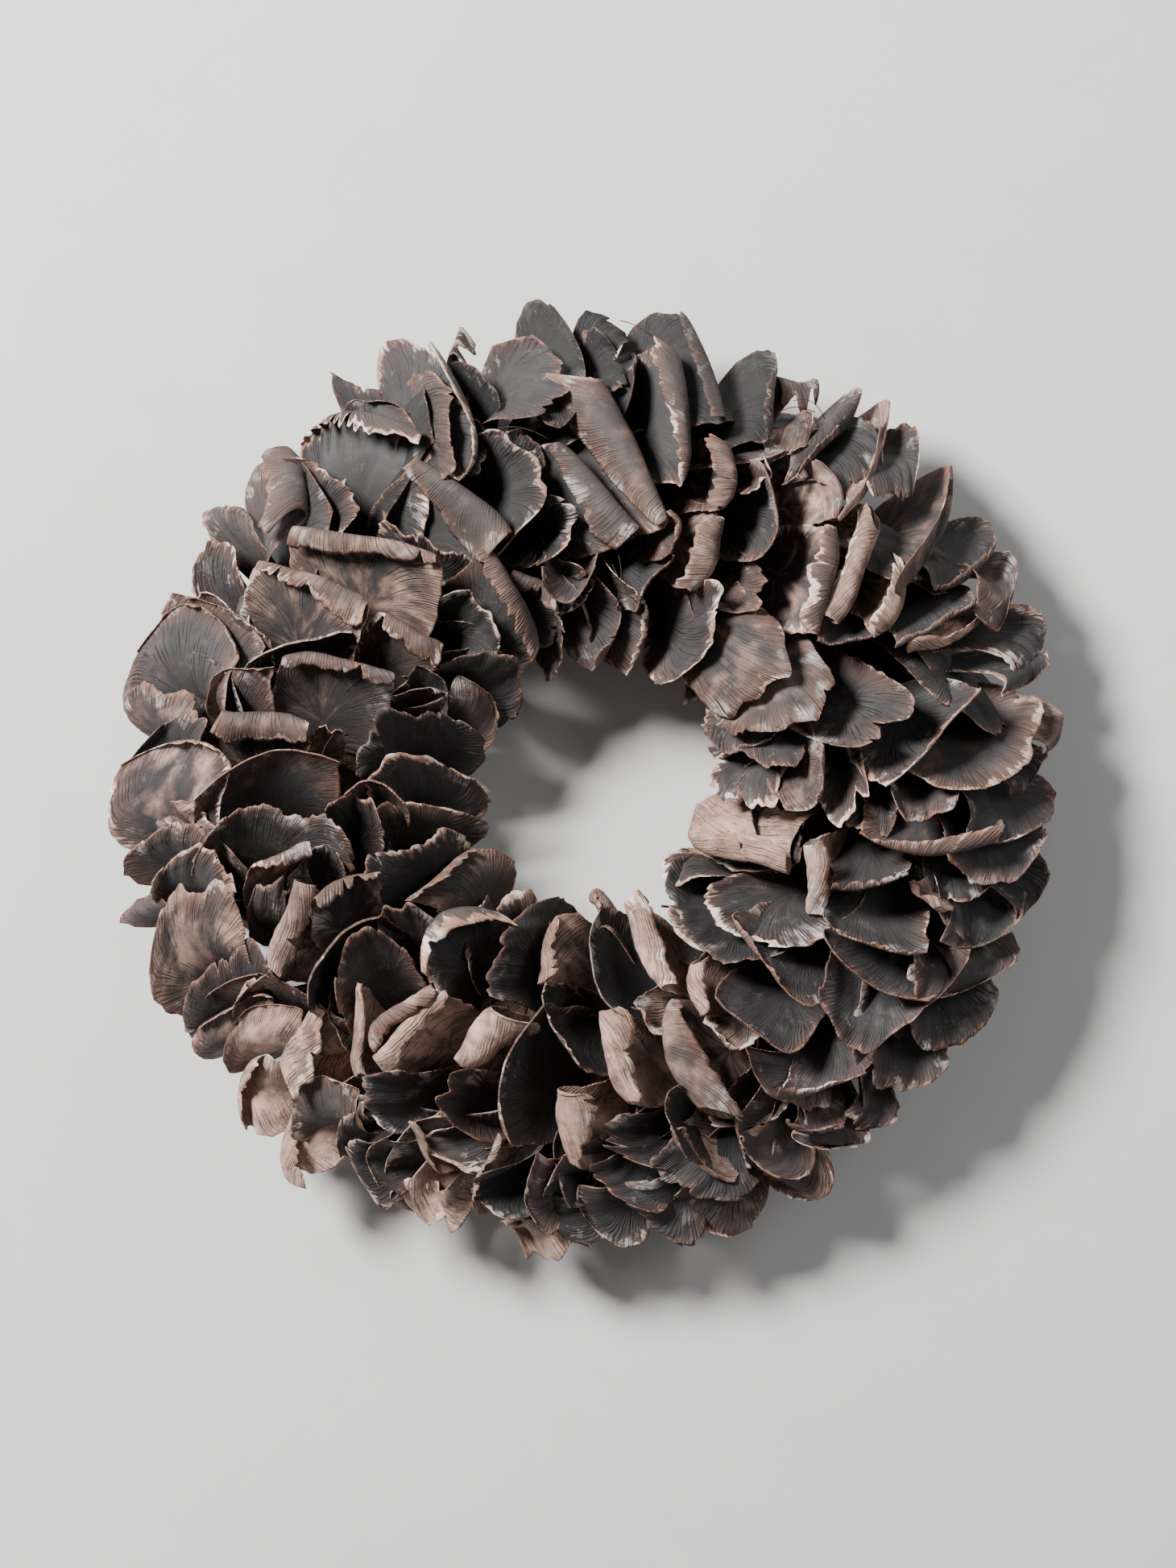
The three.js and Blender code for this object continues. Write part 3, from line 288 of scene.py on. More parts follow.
    (915, 1530, 860, 1510, 830, 1480, 905, 1440, 0.62, 5, 4, 130, 0.7),
    (900, 1500, 840, 1475, 790, 1445, 900, 1410, 0.8, 5, 0, 0, 0.35),
    (970, 1462, 935, 1440, 918, 1395, 985, 1400, 0.85, 7, 5, 120, 0.55),
    (1005, 1485, 960, 1465, 930, 1440, 990, 1420, 0.62, 4, 4, 130, 0.75),
    (1035, 1400, 990, 1405, 975, 1392, 1010, 1365, 0.9, 4, 4, 170, 0.75),
    (1070, 1418, 1020, 1420, 985, 1402, 1030, 1375, 0.8, 4, 5, 170, 0.65),
    (1088, 1398, 1055, 1400, 1040, 1370, 1080, 1345, 0.65, 4, 0, 0, 0.4),
    (960, 1370, 925, 1315, 930, 1300, 1010, 1310, 0.9, 5, 2.5, 60, 0.5),
    (1075, 1335, 1010, 1355, 965, 1362, 1030, 1280, 0.97, 6, 4, 150, 0.6),
    # four o'clock
    (1165, 1340, 1120, 1355, 1070, 1352, 1120, 1285, 0.83, 6, 0, 0, 0.5),
    (1235, 1250, 1190, 1300, 1130, 1300, 1165, 1225, 0.83, 6, 0, 0, 0.45),
    (1135, 1275, 1065, 1300, 1003, 1255, 1090, 1200, 0.95, 7, 0, 0, 0.45),
    (1150, 1247, 1060, 1210, 1018, 1155, 1120, 1150, 0.97, 9, 3, 120, 0.5),
    (1180, 1215, 1150, 1245, 1110, 1220, 1165, 1165, 0.95, 6, 0, 0, 0.6),
    (1245, 1205, 1195, 1230, 1160, 1240, 1200, 1165, 0.88, 5, 4, 130, 0.55),
    (1255, 1155, 1205, 1175, 1158, 1168, 1210, 1095, 0.95, 11, 3.5, 140, 0.35),
    (1150, 1187, 1080, 1180, 1015, 1145, 1090, 1085, 1.02, 11, 3, 120, 0.45),
    (1158, 1138, 1140, 1110, 1122, 1098, 1165, 1085, 0.95, 3, 4, 150, 0.85),
    (1130, 1098, 1080, 1102, 1030, 1118, 1080, 1030, 1, 10, 4, 150, 0.4),
    (1008, 1142, 1001, 1095, 1003, 1040, 1050, 1080, 1.05, 3, 6, 170, 1),
    (985, 1085, 925, 1068, 857, 1050, 945, 1000, 1.03, 4, 8, 170, 1),
    (1000, 1080, 970, 1082, 940, 1050, 975, 1000, 0.85, 10, 0, 0, 0.2),
    (850, 1110, 825, 1095, 818, 1078, 885, 1070, 0.85, 4, 0, 0, 0.5),
    (1290, 1100, 1270, 1138, 1245, 1150, 1250, 1080, 0.7, 6, 0, 0, 0.45),
    (1235, 1108, 1190, 1125, 1160, 1118, 1175, 1060, 0.85, 6, 0, 0, 0.35),
    # three o'clock
    (1290, 1062, 1230, 1103, 1160, 1062, 1215, 1025, 0.93, 8, 0, 0, 0.45),
    (1238, 1050, 1150, 1060, 1060, 1042, 1150, 995, 1, 6, 5, 150, 0.7),
    (1300, 1020, 1240, 1045, 1190, 1035, 1225, 970, 0.9, 8, 4, 120, 0.4),
    (1195, 1005, 1150, 1020, 1108, 1017, 1130, 935, 1, 8, 0, 0, 0.65),
    (1310, 888, 1262, 955, 1190, 1000, 1165, 895, 1.02, 9, 0, 0, 0.65),
    (1303, 905, 1298, 930, 1282, 945, 1275, 895, 0.7, 3, 4, 120, 0.8),
    (1280, 960, 1262, 990, 1235, 1000, 1245, 940, 0.75, 5, 0, 0, 0.35),
    (1222, 862, 1175, 905, 1100, 985, 1115, 870, 1, 9, 3, 90, 0.5),
    (1140, 852, 1112, 905, 1050, 938, 1015, 850, 1.03, 8, 0, 0, 0.6),
    (1110, 1030, 1085, 1037, 1045, 1030, 1085, 975, 0.88, 5, 0, 0, 0.4),
    (1083, 980, 1065, 1010, 1030, 1035, 1040, 940, 0.93, 6, 0, 0, 0.55),
    (1033, 930, 1020, 990, 985, 1010, 980, 925, 0.98, 5, 4, 100, 0.75),
    (1000, 962, 945, 950, 870, 925, 955, 875, 0.92, 7, 0, 0, 0.5),
    (975, 1012, 930, 1005, 888, 995, 940, 935, 0.85, 5, 0, 0, 0.5),
    # two o'clock
    (1047, 845, 990, 895, 903, 918, 945, 820, 1.02, -6, 0, 0, 0.75),
    (985, 795, 955, 850, 893, 898, 885, 765, 1.02, -6, 0, 0, 0.75),
    (1100, 785, 1060, 803, 1008, 798, 1045, 750, 0.9, 8, 3, 120, 0.5),
    (1212, 762, 1165, 778, 1108, 818, 1130, 735, 0.96, 7, 3, 150, 0.4),
    (1222, 772, 1180, 795, 1130, 815, 1180, 760, 0.93, 3, 4, 170, 0.85),
    (1250, 740, 1240, 775, 1200, 755, 1205, 710, 0.95, 5, 6, 90, 0.7),
    (1293, 800, 1285, 835, 1250, 860, 1235, 780, 0.65, 6, 0, 0, 0.4),
    (1292, 838, 1270, 850, 1235, 868, 1235, 815, 0.75, 4, 3, 60, 0.35),
    (1178, 598, 1168, 665, 1122, 740, 1130, 650, 1.05, 3, 9, 180, 0.75),
    (1095, 652, 1072, 715, 1035, 782, 1030, 680, 1.03, 5, 9, 180, 0.85),
    (1128, 715, 1115, 755, 1085, 798, 1070, 715, 1, 6, 8, 170, 0.8),
    (1232, 680, 1205, 715, 1150, 738, 1155, 670, 0.93, 9, 4, 150, 0.4),
    (1137, 590, 1122, 625, 1070, 640, 1080, 560, 0.9, 9, 0, 0, 0.4),
    (1100, 535, 1078, 600, 1045, 655, 1050, 565, 1, 5, 4, 180, 0.85),
    # one o'clock
    (960, 438, 958, 490, 945, 555, 892, 510, 0.95, 8, 5, 160, 0.22),
    (1005, 545, 985, 562, 940, 570, 960, 530, 0.85, 4, 4, 90, 0.75),
    (1012, 512, 1000, 518, 960, 508, 970, 490, 0.55, 3, 0, 0, 0.5),
    (1060, 515, 1020, 560, 970, 600, 1005, 530, 0.9, 4, 5, 120, 0.65),
    (1100, 560, 1080, 600, 1040, 640, 1015, 560, 0.83, 6, 0, 0, 0.35),
    (955, 572, 965, 640, 952, 698, 900, 640, 0.97, 9, 3, 80, 0.5),
    (950, 572, 953, 600, 920, 622, 915, 590, 0.93, 4, 0, 0, 0.7),
    (950, 705, 948, 745, 900, 765, 895, 710, 0.93, 6, 0, 0, 0.75),
    (1022, 572, 1042, 610, 1042, 650, 980, 620, 1.03, 5, 5.5, 170, 0.85),
    (1038, 655, 1030, 720, 1015, 790, 955, 710, 1.02, 7, 8, 150, 0.75),
    (905, 548, 914, 590, 895, 640, 850, 590, 1.05, 7, 8, 160, 0.75),
    (900, 640, 885, 690, 858, 738, 835, 665, 1, 4, 9, 150, 0.8),
    (897, 712, 893, 780, 850, 843, 825, 770, 0.97, 9, 0, 0, 0.6),
]

# Rings of low petals that fill the sides: how many, how far back the heel lies round the ring,
# and the heel, the rim's ends and its middle by radius and height
LOW_RINGS = [
    dict(count=18, setback=58, heel=(184, 36), upper=(182, 66), middle=(206, 38), lower=(193, 3)),
    dict(count=12, setback=30, heel=(82, 36), upper=(86, 64), middle=(63, 38), lower=(74, 4)),
    dict(count=14, setback=50, heel=(178, 50), upper=(172, 82), middle=(203, 62), lower=(204, 24)),
    dict(count=10, setback=28, heel=(88, 48), upper=(94, 78), middle=(68, 58), lower=(68, 28)),
]

# Loose fibres as places in the picture, each with the height that it starts and ends at in mm
LOOSE_FIBRES = [
    [(958, 520), (980, 496), (1012, 512), 70, 84],
    [(770, 398), (800, 404), (822, 430), 66, 80],
    [(768, 690), (776, 720), (764, 752), 84, 92],
    [(760, 700), (772, 730), (790, 748), 82, 88],
    [(1120, 850), (1150, 838), (1176, 846), 88, 96],
    [(618, 532), (648, 524), (682, 546), 82, 92],
    [(640, 542), (662, 556), (676, 590), 80, 86],
    [(425, 905), (404, 916), (398, 944), 90, 94],
    [(985, 498), (1010, 488), (1024, 520), 70, 78],
]

# Colours of the petals, and from dark to light where there are two
GREY_FACE = (0.040, 0.037, 0.037), (0.083, 0.080, 0.081)
TAN_FACE = (0.085, 0.046, 0.041), (0.24, 0.135, 0.116)
BROWN_FACE = (0.12, 0.06, 0.038), (0.36, 0.20, 0.135)
SCUFF = (0.10, 0.09, 0.09), (0.62, 0.59, 0.57)
# The torn rim's colours, partly its pale inside and partly painted highlight
TORN_RIM_AND_HIGHLIGHT = (0.46, 0.25, 0.17), (0.92, 0.78, 0.66)
CREAM = (0.85, 0.56, 0.45)
# Pale spots, partly worn and partly painted highlight
WORN_SPOT_AND_HIGHLIGHT = (0.58, 0.55, 0.52)
RUST = (0.46, 0.20, 0.12)


def draw(index, use):
    """A repeatable random number from 0 to 1 for a petal and a use, as in the part."""
    wave = math.sin(index * 12.9898 + use * 78.233) * 43758.5453
    return wave - math.floor(wave)


def unit(vectors):
    """The vectors at length 1."""
    return vectors / np.maximum(np.linalg.norm(vectors, axis=-1, keepdims=True), 1e-9)


def rim_height(distance, lift):
    """The height that rims reach at a distance from the wreath's middle, with the rise times the lift."""
    beyond = distance - RING_RADIUS
    share = beyond / (REACH_OUT if beyond > 0 else REACH_IN)
    return RING_CENTRE_Z + REACH_UP * math.sqrt(max(0.04, 1 - share * share)) * lift


def from_picture(x, y, height):
    """A place in the picture, taken to the height where it lies, in mm from the ring's middle."""
    nearer = (EYE_HEIGHT - height) / (EYE_HEIGHT - WIDEST_HEIGHT)
    scale = OVERALL_DIAMETER / PICTURE_DIAMETER * nearer
    return np.array([(x - PICTURE_CENTRE_X) * scale, (PICTURE_CENTRE_Y - y) * scale, height])


def reach_of(x, y):
    """How far a place in the picture is from the middle of the wreath, in mm."""
    return math.hypot(*from_picture(x, y, WIDEST_HEIGHT)[:2])


def polar(radius, angle, height):
    return np.array([radius * math.cos(angle), radius * math.sin(angle), height])


def root_point(heel):
    """Where a petal's root sits in the padding, under its heel."""
    across = math.hypot(heel[0], heel[1]) - RING_RADIUS
    up = heel[2] - RING_CENTRE_Z
    share = ROOT_DEPTH / math.hypot(across, up)
    angle = math.atan2(heel[1], heel[0]) + ROOT_SETBACK / RING_RADIUS
    return polar(RING_RADIUS + across * share, angle, RING_CENTRE_Z + up * share)


def seen_petal(row, index):
    """A petal from a row of the table of seen ones."""
    x1, y1, x2, y2, x3, y3, heel_x, heel_y, lift, hollow, roll_radius, roll_angle, tint = row
    turn = math.radians(min(roll_angle, SINKING_ANGLE))
    roll_height = ROLL_SINK * roll_radius * (1 - math.cos(turn))
    ends = []
    for x, y in ((x1, y1), (x2, y2), (x3, y3)):
        ends.append(from_picture(x, y, rim_height(reach_of(x, y), lift) - roll_height))
    heel_height = RING_CENTRE_Z + HEEL_RISE * (rim_height(reach_of(heel_x, heel_y), 1) - RING_CENTRE_Z)
    heel = from_picture(heel_x, heel_y, heel_height)
    return dict(index=index, outer=ends[0], middle=ends[1], inner=ends[2], heel=heel, root=root_point(heel),
                hollow=hollow, roll_radius=roll_radius, roll_angle=math.radians(roll_angle), tint=tint)


def low_petal(ring, step, index):
    """A petal of one of the low rings."""
    angle = (step + 0.5 * draw(index, 1)) / ring["count"] * 2 * math.pi
    stretch = 0.94 + 0.1 * draw(index, 2)

    def place(spot, turn):
        return polar(RING_RADIUS + (spot[0] - RING_RADIUS) * stretch, angle + turn, spot[1])

    heel = place(ring["heel"], ring["setback"] / ring["heel"][0])
    # The low petals' low tint darkens them, partly as painted shade
    return dict(index=index, outer=place(ring["upper"], 0.02), middle=place(ring["middle"], 0),
                inner=place(ring["lower"], 0.05), heel=heel, root=root_point(heel),
                hollow=5 + 5 * draw(index, 3), roll_radius=4,
                roll_angle=1.6 if draw(index, 4) > 0.5 else 0, tint=0.15 + 0.4 * draw(index, 12))


def all_petals():
    petals = [seen_petal(row, index) for index, row in enumerate(SEEN_PETALS)]
    for ring in LOW_RINGS:
        for step in range(ring["count"]):
            petals.append(low_petal(ring, step, len(petals)))
    return petals


def bunch_of(petal):
    """The bunch that holds a petal, by where most of the petal stands, as in the part."""
    place = petal["heel"] * 0.4 + petal["middle"] * 0.6
    aside = (math.hypot(place[0], place[1]) - RING_RADIUS) / REACH_OUT
    share = math.hypot(aside, (place[2] - RING_CENTRE_Z) / REACH_UP)
    lean = LEAN * (share - LEAN_START) / (1 - LEAN_START)
    step = round((math.pi / 2 - math.atan2(place[1], place[0]) - lean) * BUNCHES / (2 * math.pi))
    return step % BUNCHES


def hollow_side(petal):
    """The direction that the hollow face looks in, which is always upwards."""
    side = unit(np.cross(petal["inner"] - petal["outer"], petal["middle"] - petal["heel"]))
    return -side if side[2] < 0 else side


def torn_reach(petal, t):
    """How far the rim reaches across the petal, as a share of its length."""
    slow = np.sin(4.7 * t + 6.28 * draw(petal["index"], 5))
    quick = np.sin(9.3 * t + 6.28 * draw(petal["index"], 6))
    return (1.03 + 0.028 * slow + 0.018 * quick) * (1 - 0.13 * t**6)


def uneven(chance, knots, t):
    """Random numbers from 0 to 1 at even places from -1 to 1, joined by straight lines."""
    return np.interp(t, np.linspace(-1, 1, knots), chance.random(knots))


def torn_away(petal, t, width):
    """How many mm are torn off the rim at each place across it."""
    index = petal["index"]
    chance = np.random.default_rng(index + 1)
    frayed = (0.35 + draw(index, 9)) * (1.6 if petal["roll_angle"] else 1)
    torn = 3.5 * uneven(chance, 7, t) + 1.8 * frayed * uneven(chance, int(width / 5), t)
    torn += 2.1 * frayed * uneven(chance, int(width / 1.7), t) ** 2
    for _ in range(int(3.4 * draw(index, 10))):
        place = -0.85 + 1.7 * chance.random()
        depth = 2 + 7 * chance.random() ** 2
        torn += depth * np.maximum(0, 1 - np.abs(t - place) / (2 / width * (0.7 + chance.random())))
    if petal["hollow"] < 0:
        torn *= 0.4
    if index == FRINGED_PETAL:
        fingers = np.sin(t * width / FINGER_WIDTH + 2 * np.sin(5 * t)) > 0.2
        torn += FINGER_DEPTH * np.clip(0.6 - t, 0, 1) * fingers
    return torn


def blade(petal, s, t):
    """Points of the open blade: s runs from the root to the rim, t across it from -1 to 1."""
    index = petal["index"]
    side = hollow_side(petal)
    slope = (petal["inner"] - petal["outer"]) / 2
    bow = (petal["inner"] + petal["outer"]) / 2 - petal["middle"]
    s = s[..., None]
    t = t[..., None]
    line = petal["root"] * ((s - HEEL_SHARE) * (s - 1) / HEEL_SHARE)
    line = line + petal["heel"] * (s * (1 - s) / (HEEL_SHARE * (1 - HEEL_SHARE)))
    line = line + petal["middle"] * (s * (s - HEEL_SHARE) / (1 - HEEL_SHARE))
    widen = np.sin(math.pi / 2 * np.clip(s, 0, 1)) ** 0.5
    line = line + (slope * t + bow * t * t) * widen
    line = line + unit(slope) * (ROOT_HALF_WIDTH * t * (1 - s))
    dip = petal["hollow"] * 4 * s * (1 - s) * (1 - 0.4 * t * t)
    bulging = petal["hollow"] < 0
    calm = 0.25 if petal["roll_angle"] or bulging else 1
    wave = (0.8 if bulging else 1.8) * s * s * np.sin(3.3 * t + 6.28 * draw(index, 7))
    ripple = 0.9 * s**2 * np.sin(8.3 * t + 3 * s + 6.28 * draw(index, 13))
    ripple = calm * (ripple + 0.5 * s**3 * np.sin(19 * t + 5 * s + 6.28 * draw(index, 14)))
    cup = (1.5 * np.abs(t) ** 2.5 if bulging else 0.45 * np.abs(t) ** 4) * petal["hollow"] * s
    corner = 5 * (draw(index, 15) - 0.4) * s**3 * np.clip(t * np.sign(draw(index, 16) - 0.5) - 0.4, 0, 1) ** 2
    lip = 3.2 * (draw(index, 17) - 0.35) * np.clip((s - 0.8) / 0.2, 0, 1.5) ** 2
    return line + side * (wave + ripple + cup + corner + lip - dip)


def bend_clear(points):
    """Bends points clear of the straw ring and the ground."""
    low = FLOOR_CLEARANCE + GROUND_BEND - points[..., 2]
    sunk = np.where(low > 0, GROUND_BEND * np.tanh(low / GROUND_BEND), low)
    height = FLOOR_CLEARANCE + GROUND_BEND - sunk
    radius = np.hypot(points[..., 0], points[..., 1])
    across = radius - RING_RADIUS
    up = height - RING_CENTRE_Z
    depth = np.hypot(across, up)
    inside = RING_BEND_START - depth
    kept = RING_BEND_START - np.where(inside > 0, RING_BEND * np.tanh(inside / RING_BEND), inside)
    out = (RING_RADIUS + across * kept / depth) / radius
    return np.stack([points[..., 0] * out, points[..., 1] * out, RING_CENTRE_Z + up * kept / depth], axis=-1)


def petal_grid(petal):
    """Points of a whole petal by row and column, roll and torn rim included."""
    index = petal["index"]
    width = max(20.0, float(np.linalg.norm(petal["inner"] - petal["outer"])))
    length = max(15.0, float(np.linalg.norm(petal["middle"] - petal["heel"])) / (1 - HEEL_SHARE))
    t = np.linspace(-1, 1, int(np.clip(width / COLUMN_STEP, 18, 64)))
    slow = torn_reach(petal, t)
    torn = torn_away(petal, t, width)
    rolled = petal["roll_angle"] > 0
    share = np.linspace(0, 1, int(np.clip(length / ROW_STEP, 9, 18)))[:, None] ** 0.8
    chance = np.random.default_rng(index + 5000)
    ragged = 1 - 6 / width * uneven(chance, 20, 2 * share - 1) * share * np.abs(t) ** 9
    if rolled:
        grid = blade(petal, share * np.ones_like(t), t * ragged)
        rim = grid[-1]
        onward = unit(rim - blade(petal, np.full_like(t, 0.9), t))
        side = hollow_side(petal)
        inward = unit(side - onward * (onward @ side)[:, None])
        whole = petal["roll_radius"] * ROLL_SIZE * petal["roll_angle"]
        rows = int(np.clip(whole / ROLL_STEP, 4, 14))
        whole = whole * (1 + 1.1 * t * (draw(index, 8) - 0.5) - 0.15 * t**4)
        reach = np.maximum(whole * slow - torn, 2)
        steps = (np.arange(rows) + 0.5)[:, None] / rows * reach
        flatness = 2.2 + 2.2 * draw(index, 19)
        turn = petal["roll_angle"] * (1 - np.clip(1 - steps / (1.1 * whole), 0, 1) ** flatness)
        ahead = np.cumsum(np.cos(turn), axis=0) * reach / rows
        aloft = np.cumsum(np.sin(turn), axis=0) * reach / rows
        roll = rim + onward * ahead[..., None] + inward * aloft[..., None]
        grid = np.concatenate([grid, roll])
    else:
        grid = blade(petal, share * slow - share**4 * torn / length, t * ragged)
    return bend_clear(grid), t, width


class Sheaf:
    """Gathers points, four-sided faces and values for one mesh."""

    def __init__(self):
        self.points = []
        self.faces = []
        self.kinds = []
        self.values = {name: [] for name in ("across", "along", "edge", "tint", "seed", "back")}
        self.count = 0

    def add(self, points, faces, kind, **values):
        """Adds a closed body, whose kind is the number of its material."""
        self.points.append(points)
        self.faces.append(faces + self.count)
        self.kinds.append(np.full(len(faces), kind))
        for name, gathered in self.values.items():
            gathered.append(np.broadcast_to(values.get(name, 0.0), len(points)))
        self.count += len(points)

    def mesh(self, name, materials):
        points = np.concatenate(self.points)
        faces = np.concatenate(self.faces)
        mesh = bpy.data.meshes.new(name)
        mesh.vertices.add(len(points))
        mesh.vertices.foreach_set("co", (points * MM + RING_PLACE).astype(np.float32).ravel())
        mesh.loops.add(faces.size)
        mesh.loops.foreach_set("vertex_index", faces.astype(np.int32).ravel())
        mesh.polygons.add(len(faces))
        mesh.polygons.foreach_set("loop_start", np.arange(0, faces.size, 4, dtype=np.int32))
        mesh.polygons.foreach_set("use_smooth", np.ones(len(faces), dtype=bool))
        mesh.polygons.foreach_set("material_index", np.concatenate(self.kinds).astype(np.int32))
        mesh.update(calc_edges=True)
        for value, gathered in self.values.items():
            layer = mesh.attributes.new(value, "FLOAT", "POINT")
            layer.data.foreach_set("value", np.concatenate(gathered).astype(np.float32))
        for material in materials:
            mesh.materials.append(material)
        piece = bpy.data.objects.new(name, mesh)
        bpy.context.scene.collection.objects.link(piece)
        return piece


def normals(grid):
    """The direction that each place of a grid looks in."""
    along = np.gradient(grid, axis=0)
    across = np.gradient(grid, axis=1)
    return unit(np.cross(across, along))


def sheet_faces(rows, columns):
    """Both faces and the rim strip of a closed sheet, the second face after the first."""
    place = np.arange(rows * columns).reshape(rows, columns)
    top = np.stack([place[:-1, :-1], place[:-1, 1:], place[1:, 1:], place[1:, :-1]], axis=-1).reshape(-1, 4)
    under = top[:, ::-1] + rows * columns
    edge = np.concatenate([place[0, :-1], place[:-1, -1], place[-1, :0:-1], place[:0:-1, 0]])
    after = np.roll(edge, -1)
    strip = np.stack([edge, edge + rows * columns, after + rows * columns, after], axis=-1)
    return np.concatenate([top, under, strip])


def add_petal(sheaf, petal):
    """Adds a petal as a closed thin sheet, with the values that its material reads."""
    grid, t, width = petal_grid(petal)
    rows, columns = grid.shape[:2]
    normal = normals(grid)
    side = hollow_side(petal)
    front = 1 if np.sum(normal[rows // 3] @ side) > 0 else -1
    steps = np.linalg.norm(np.diff(grid, axis=0), axis=-1)
    along = np.concatenate([np.zeros((1, columns)), np.cumsum(steps, axis=0)])
    edge = along[-1] - along
    edge = np.minimum(edge, (1 - np.abs(t)) * width * 0.5 + 0.4 + 12 * (along < 6))
    thickness = EDGE_THICKNESS + (PETAL_THICKNESS - EDGE_THICKNESS) * np.clip(edge / EDGE_TAPER, 0, 1)
    shift = normal * (thickness / 2)[..., None]
    points = np.concatenate([(grid + shift).reshape(-1, 3), (grid - shift).reshape(-1, 3)])
    back = np.repeat([0.0 if front > 0 else 1.0, 1.0 if front > 0 else 0.0], rows * columns)
    reach = np.median(along[-1])
    fan = np.arctan2(t * width / 2, np.maximum(along - FAN_START * reach, 1)) * (1 - FAN_START) * reach
    sideways = petal["roll_angle"] >= SIDEWAYS_ROLL and petal["tint"] >= SIDEWAYS_TINT
    ribs, length = (along, fan) if sideways else (fan, along)
    sheaf.add(points, sheet_faces(rows, columns), 0, back=back, tint=petal["tint"],
              seed=37.7 * petal["index"] % 91, across=np.tile(ribs.ravel(), 2),
              along=np.tile(length.ravel(), 2), edge=np.tile(edge.ravel(), 2))


def tube(path, radius):
    """Points and faces of a closed tube along a path."""
    path = np.asarray(path, dtype=float)
    onward = unit(np.gradient(path, axis=0))
    first = unit(np.cross(onward, np.array([0.31, 0.52, 0.79])))
    second = np.cross(onward, first)
    angles = np.arange(TUBE_SIDES) / TUBE_SIDES * 2 * math.pi
    ring = first[:, None] * np.cos(angles)[:, None] + second[:, None] * np.sin(angles)[:, None]
    points = (path[:, None] + ring * radius).reshape(-1, 3)
    place = np.arange(len(path) * TUBE_SIDES).reshape(len(path), TUBE_SIDES)
    after = np.roll(place, -1, axis=1)
    wall = np.stack([place[:-1], after[:-1], after[1:], place[1:]], axis=-1).reshape(-1, 4)
    return points, np.concatenate([wall, place[:1, ::-1], place[-1:]])


def ring_place(turn, tilt, depth):
    """Points round the ring by the angle round it, the angle round its section and the depth from there."""
    radius = RING_RADIUS + depth * np.cos(tilt)
    height = np.maximum(RING_CENTRE_Z + depth * np.sin(tilt), 0)
    return np.stack(np.broadcast_arrays(radius * np.cos(turn), radius * np.sin(turn), height), axis=-1)


def add_padding(sheaf, bunch, chance):
    """A saddle of rough padding over a twelfth of the ring, and the strands that lie in it."""
    middle = math.pi / 2 - bunch * 2 * math.pi / BUNCHES
    tilt = np.radians(np.linspace(PADDING_FROM, PADDING_TO, PADDING_ROWS))[:, None]
    turn = middle + np.linspace(-1, 1, PADDING_COLUMNS)[None, :] * math.pi / BUNCHES
    rough = 1.6 * np.sin(turn * 57 + 3 * np.sin(tilt * 6)) * np.sin(tilt * 17 + 2 * np.sin(turn * 31))
    rough = rough + chance.normal(0, 0.45, (PADDING_ROWS, PADDING_COLUMNS))
    outer = ring_place(turn, tilt, PADDING_OUTSIDE - PADDING_SINK + rough)
    outer[..., 2] = np.maximum(outer[..., 2], 2)
    inner = ring_place(turn, tilt, np.full((PADDING_ROWS, PADDING_COLUMNS), PADDING_INSIDE))
    points = np.concatenate([inner.reshape(-1, 3), outer.reshape(-1, 3)])
    sheaf.add(points, sheet_faces(PADDING_ROWS, PADDING_COLUMNS), 1, seed=float(bunch))
    for _ in range(STRANDS):
        tilt = math.radians(-24 + 228 * chance.random())
        turn = middle + (chance.random() - 0.5) * 2 * math.pi / BUNCHES
        steps = np.linspace(0, 1, 6)
        sweep = (chance.random() - 0.5) * 0.22
        depth = STRAND_DEPTH + 6 * np.sin(steps * 2.4) * chance.random()
        path = ring_place(turn + sweep * steps, tilt + (chance.random() - 0.5) * 0.6 * steps, depth)
        path[:, 2] = np.maximum(path[:, 2], 1.5)
        points, faces = tube(path, STRAND_RADIUS)
        sheaf.add(points, faces, 1, seed=chance.random() * 9)


def add_loose_fibres(sheaf):
    """Adds the loose fibres, each bent towards the second of its three places."""
    for start, middle, end, low, high in LOOSE_FIBRES:
        ends = [from_picture(*start, low), from_picture(*middle, high), from_picture(*end, low + 4)]
        steps = np.linspace(0, 1, 14)[:, None]
        path = ends[0] * (1 - steps) ** 2 + ends[1] * 2 * steps * (1 - steps) + ends[2] * steps**2
        points, faces = tube(path, FIBRE_RADIUS)
        sheaf.add(points, faces, 1, seed=3.0)


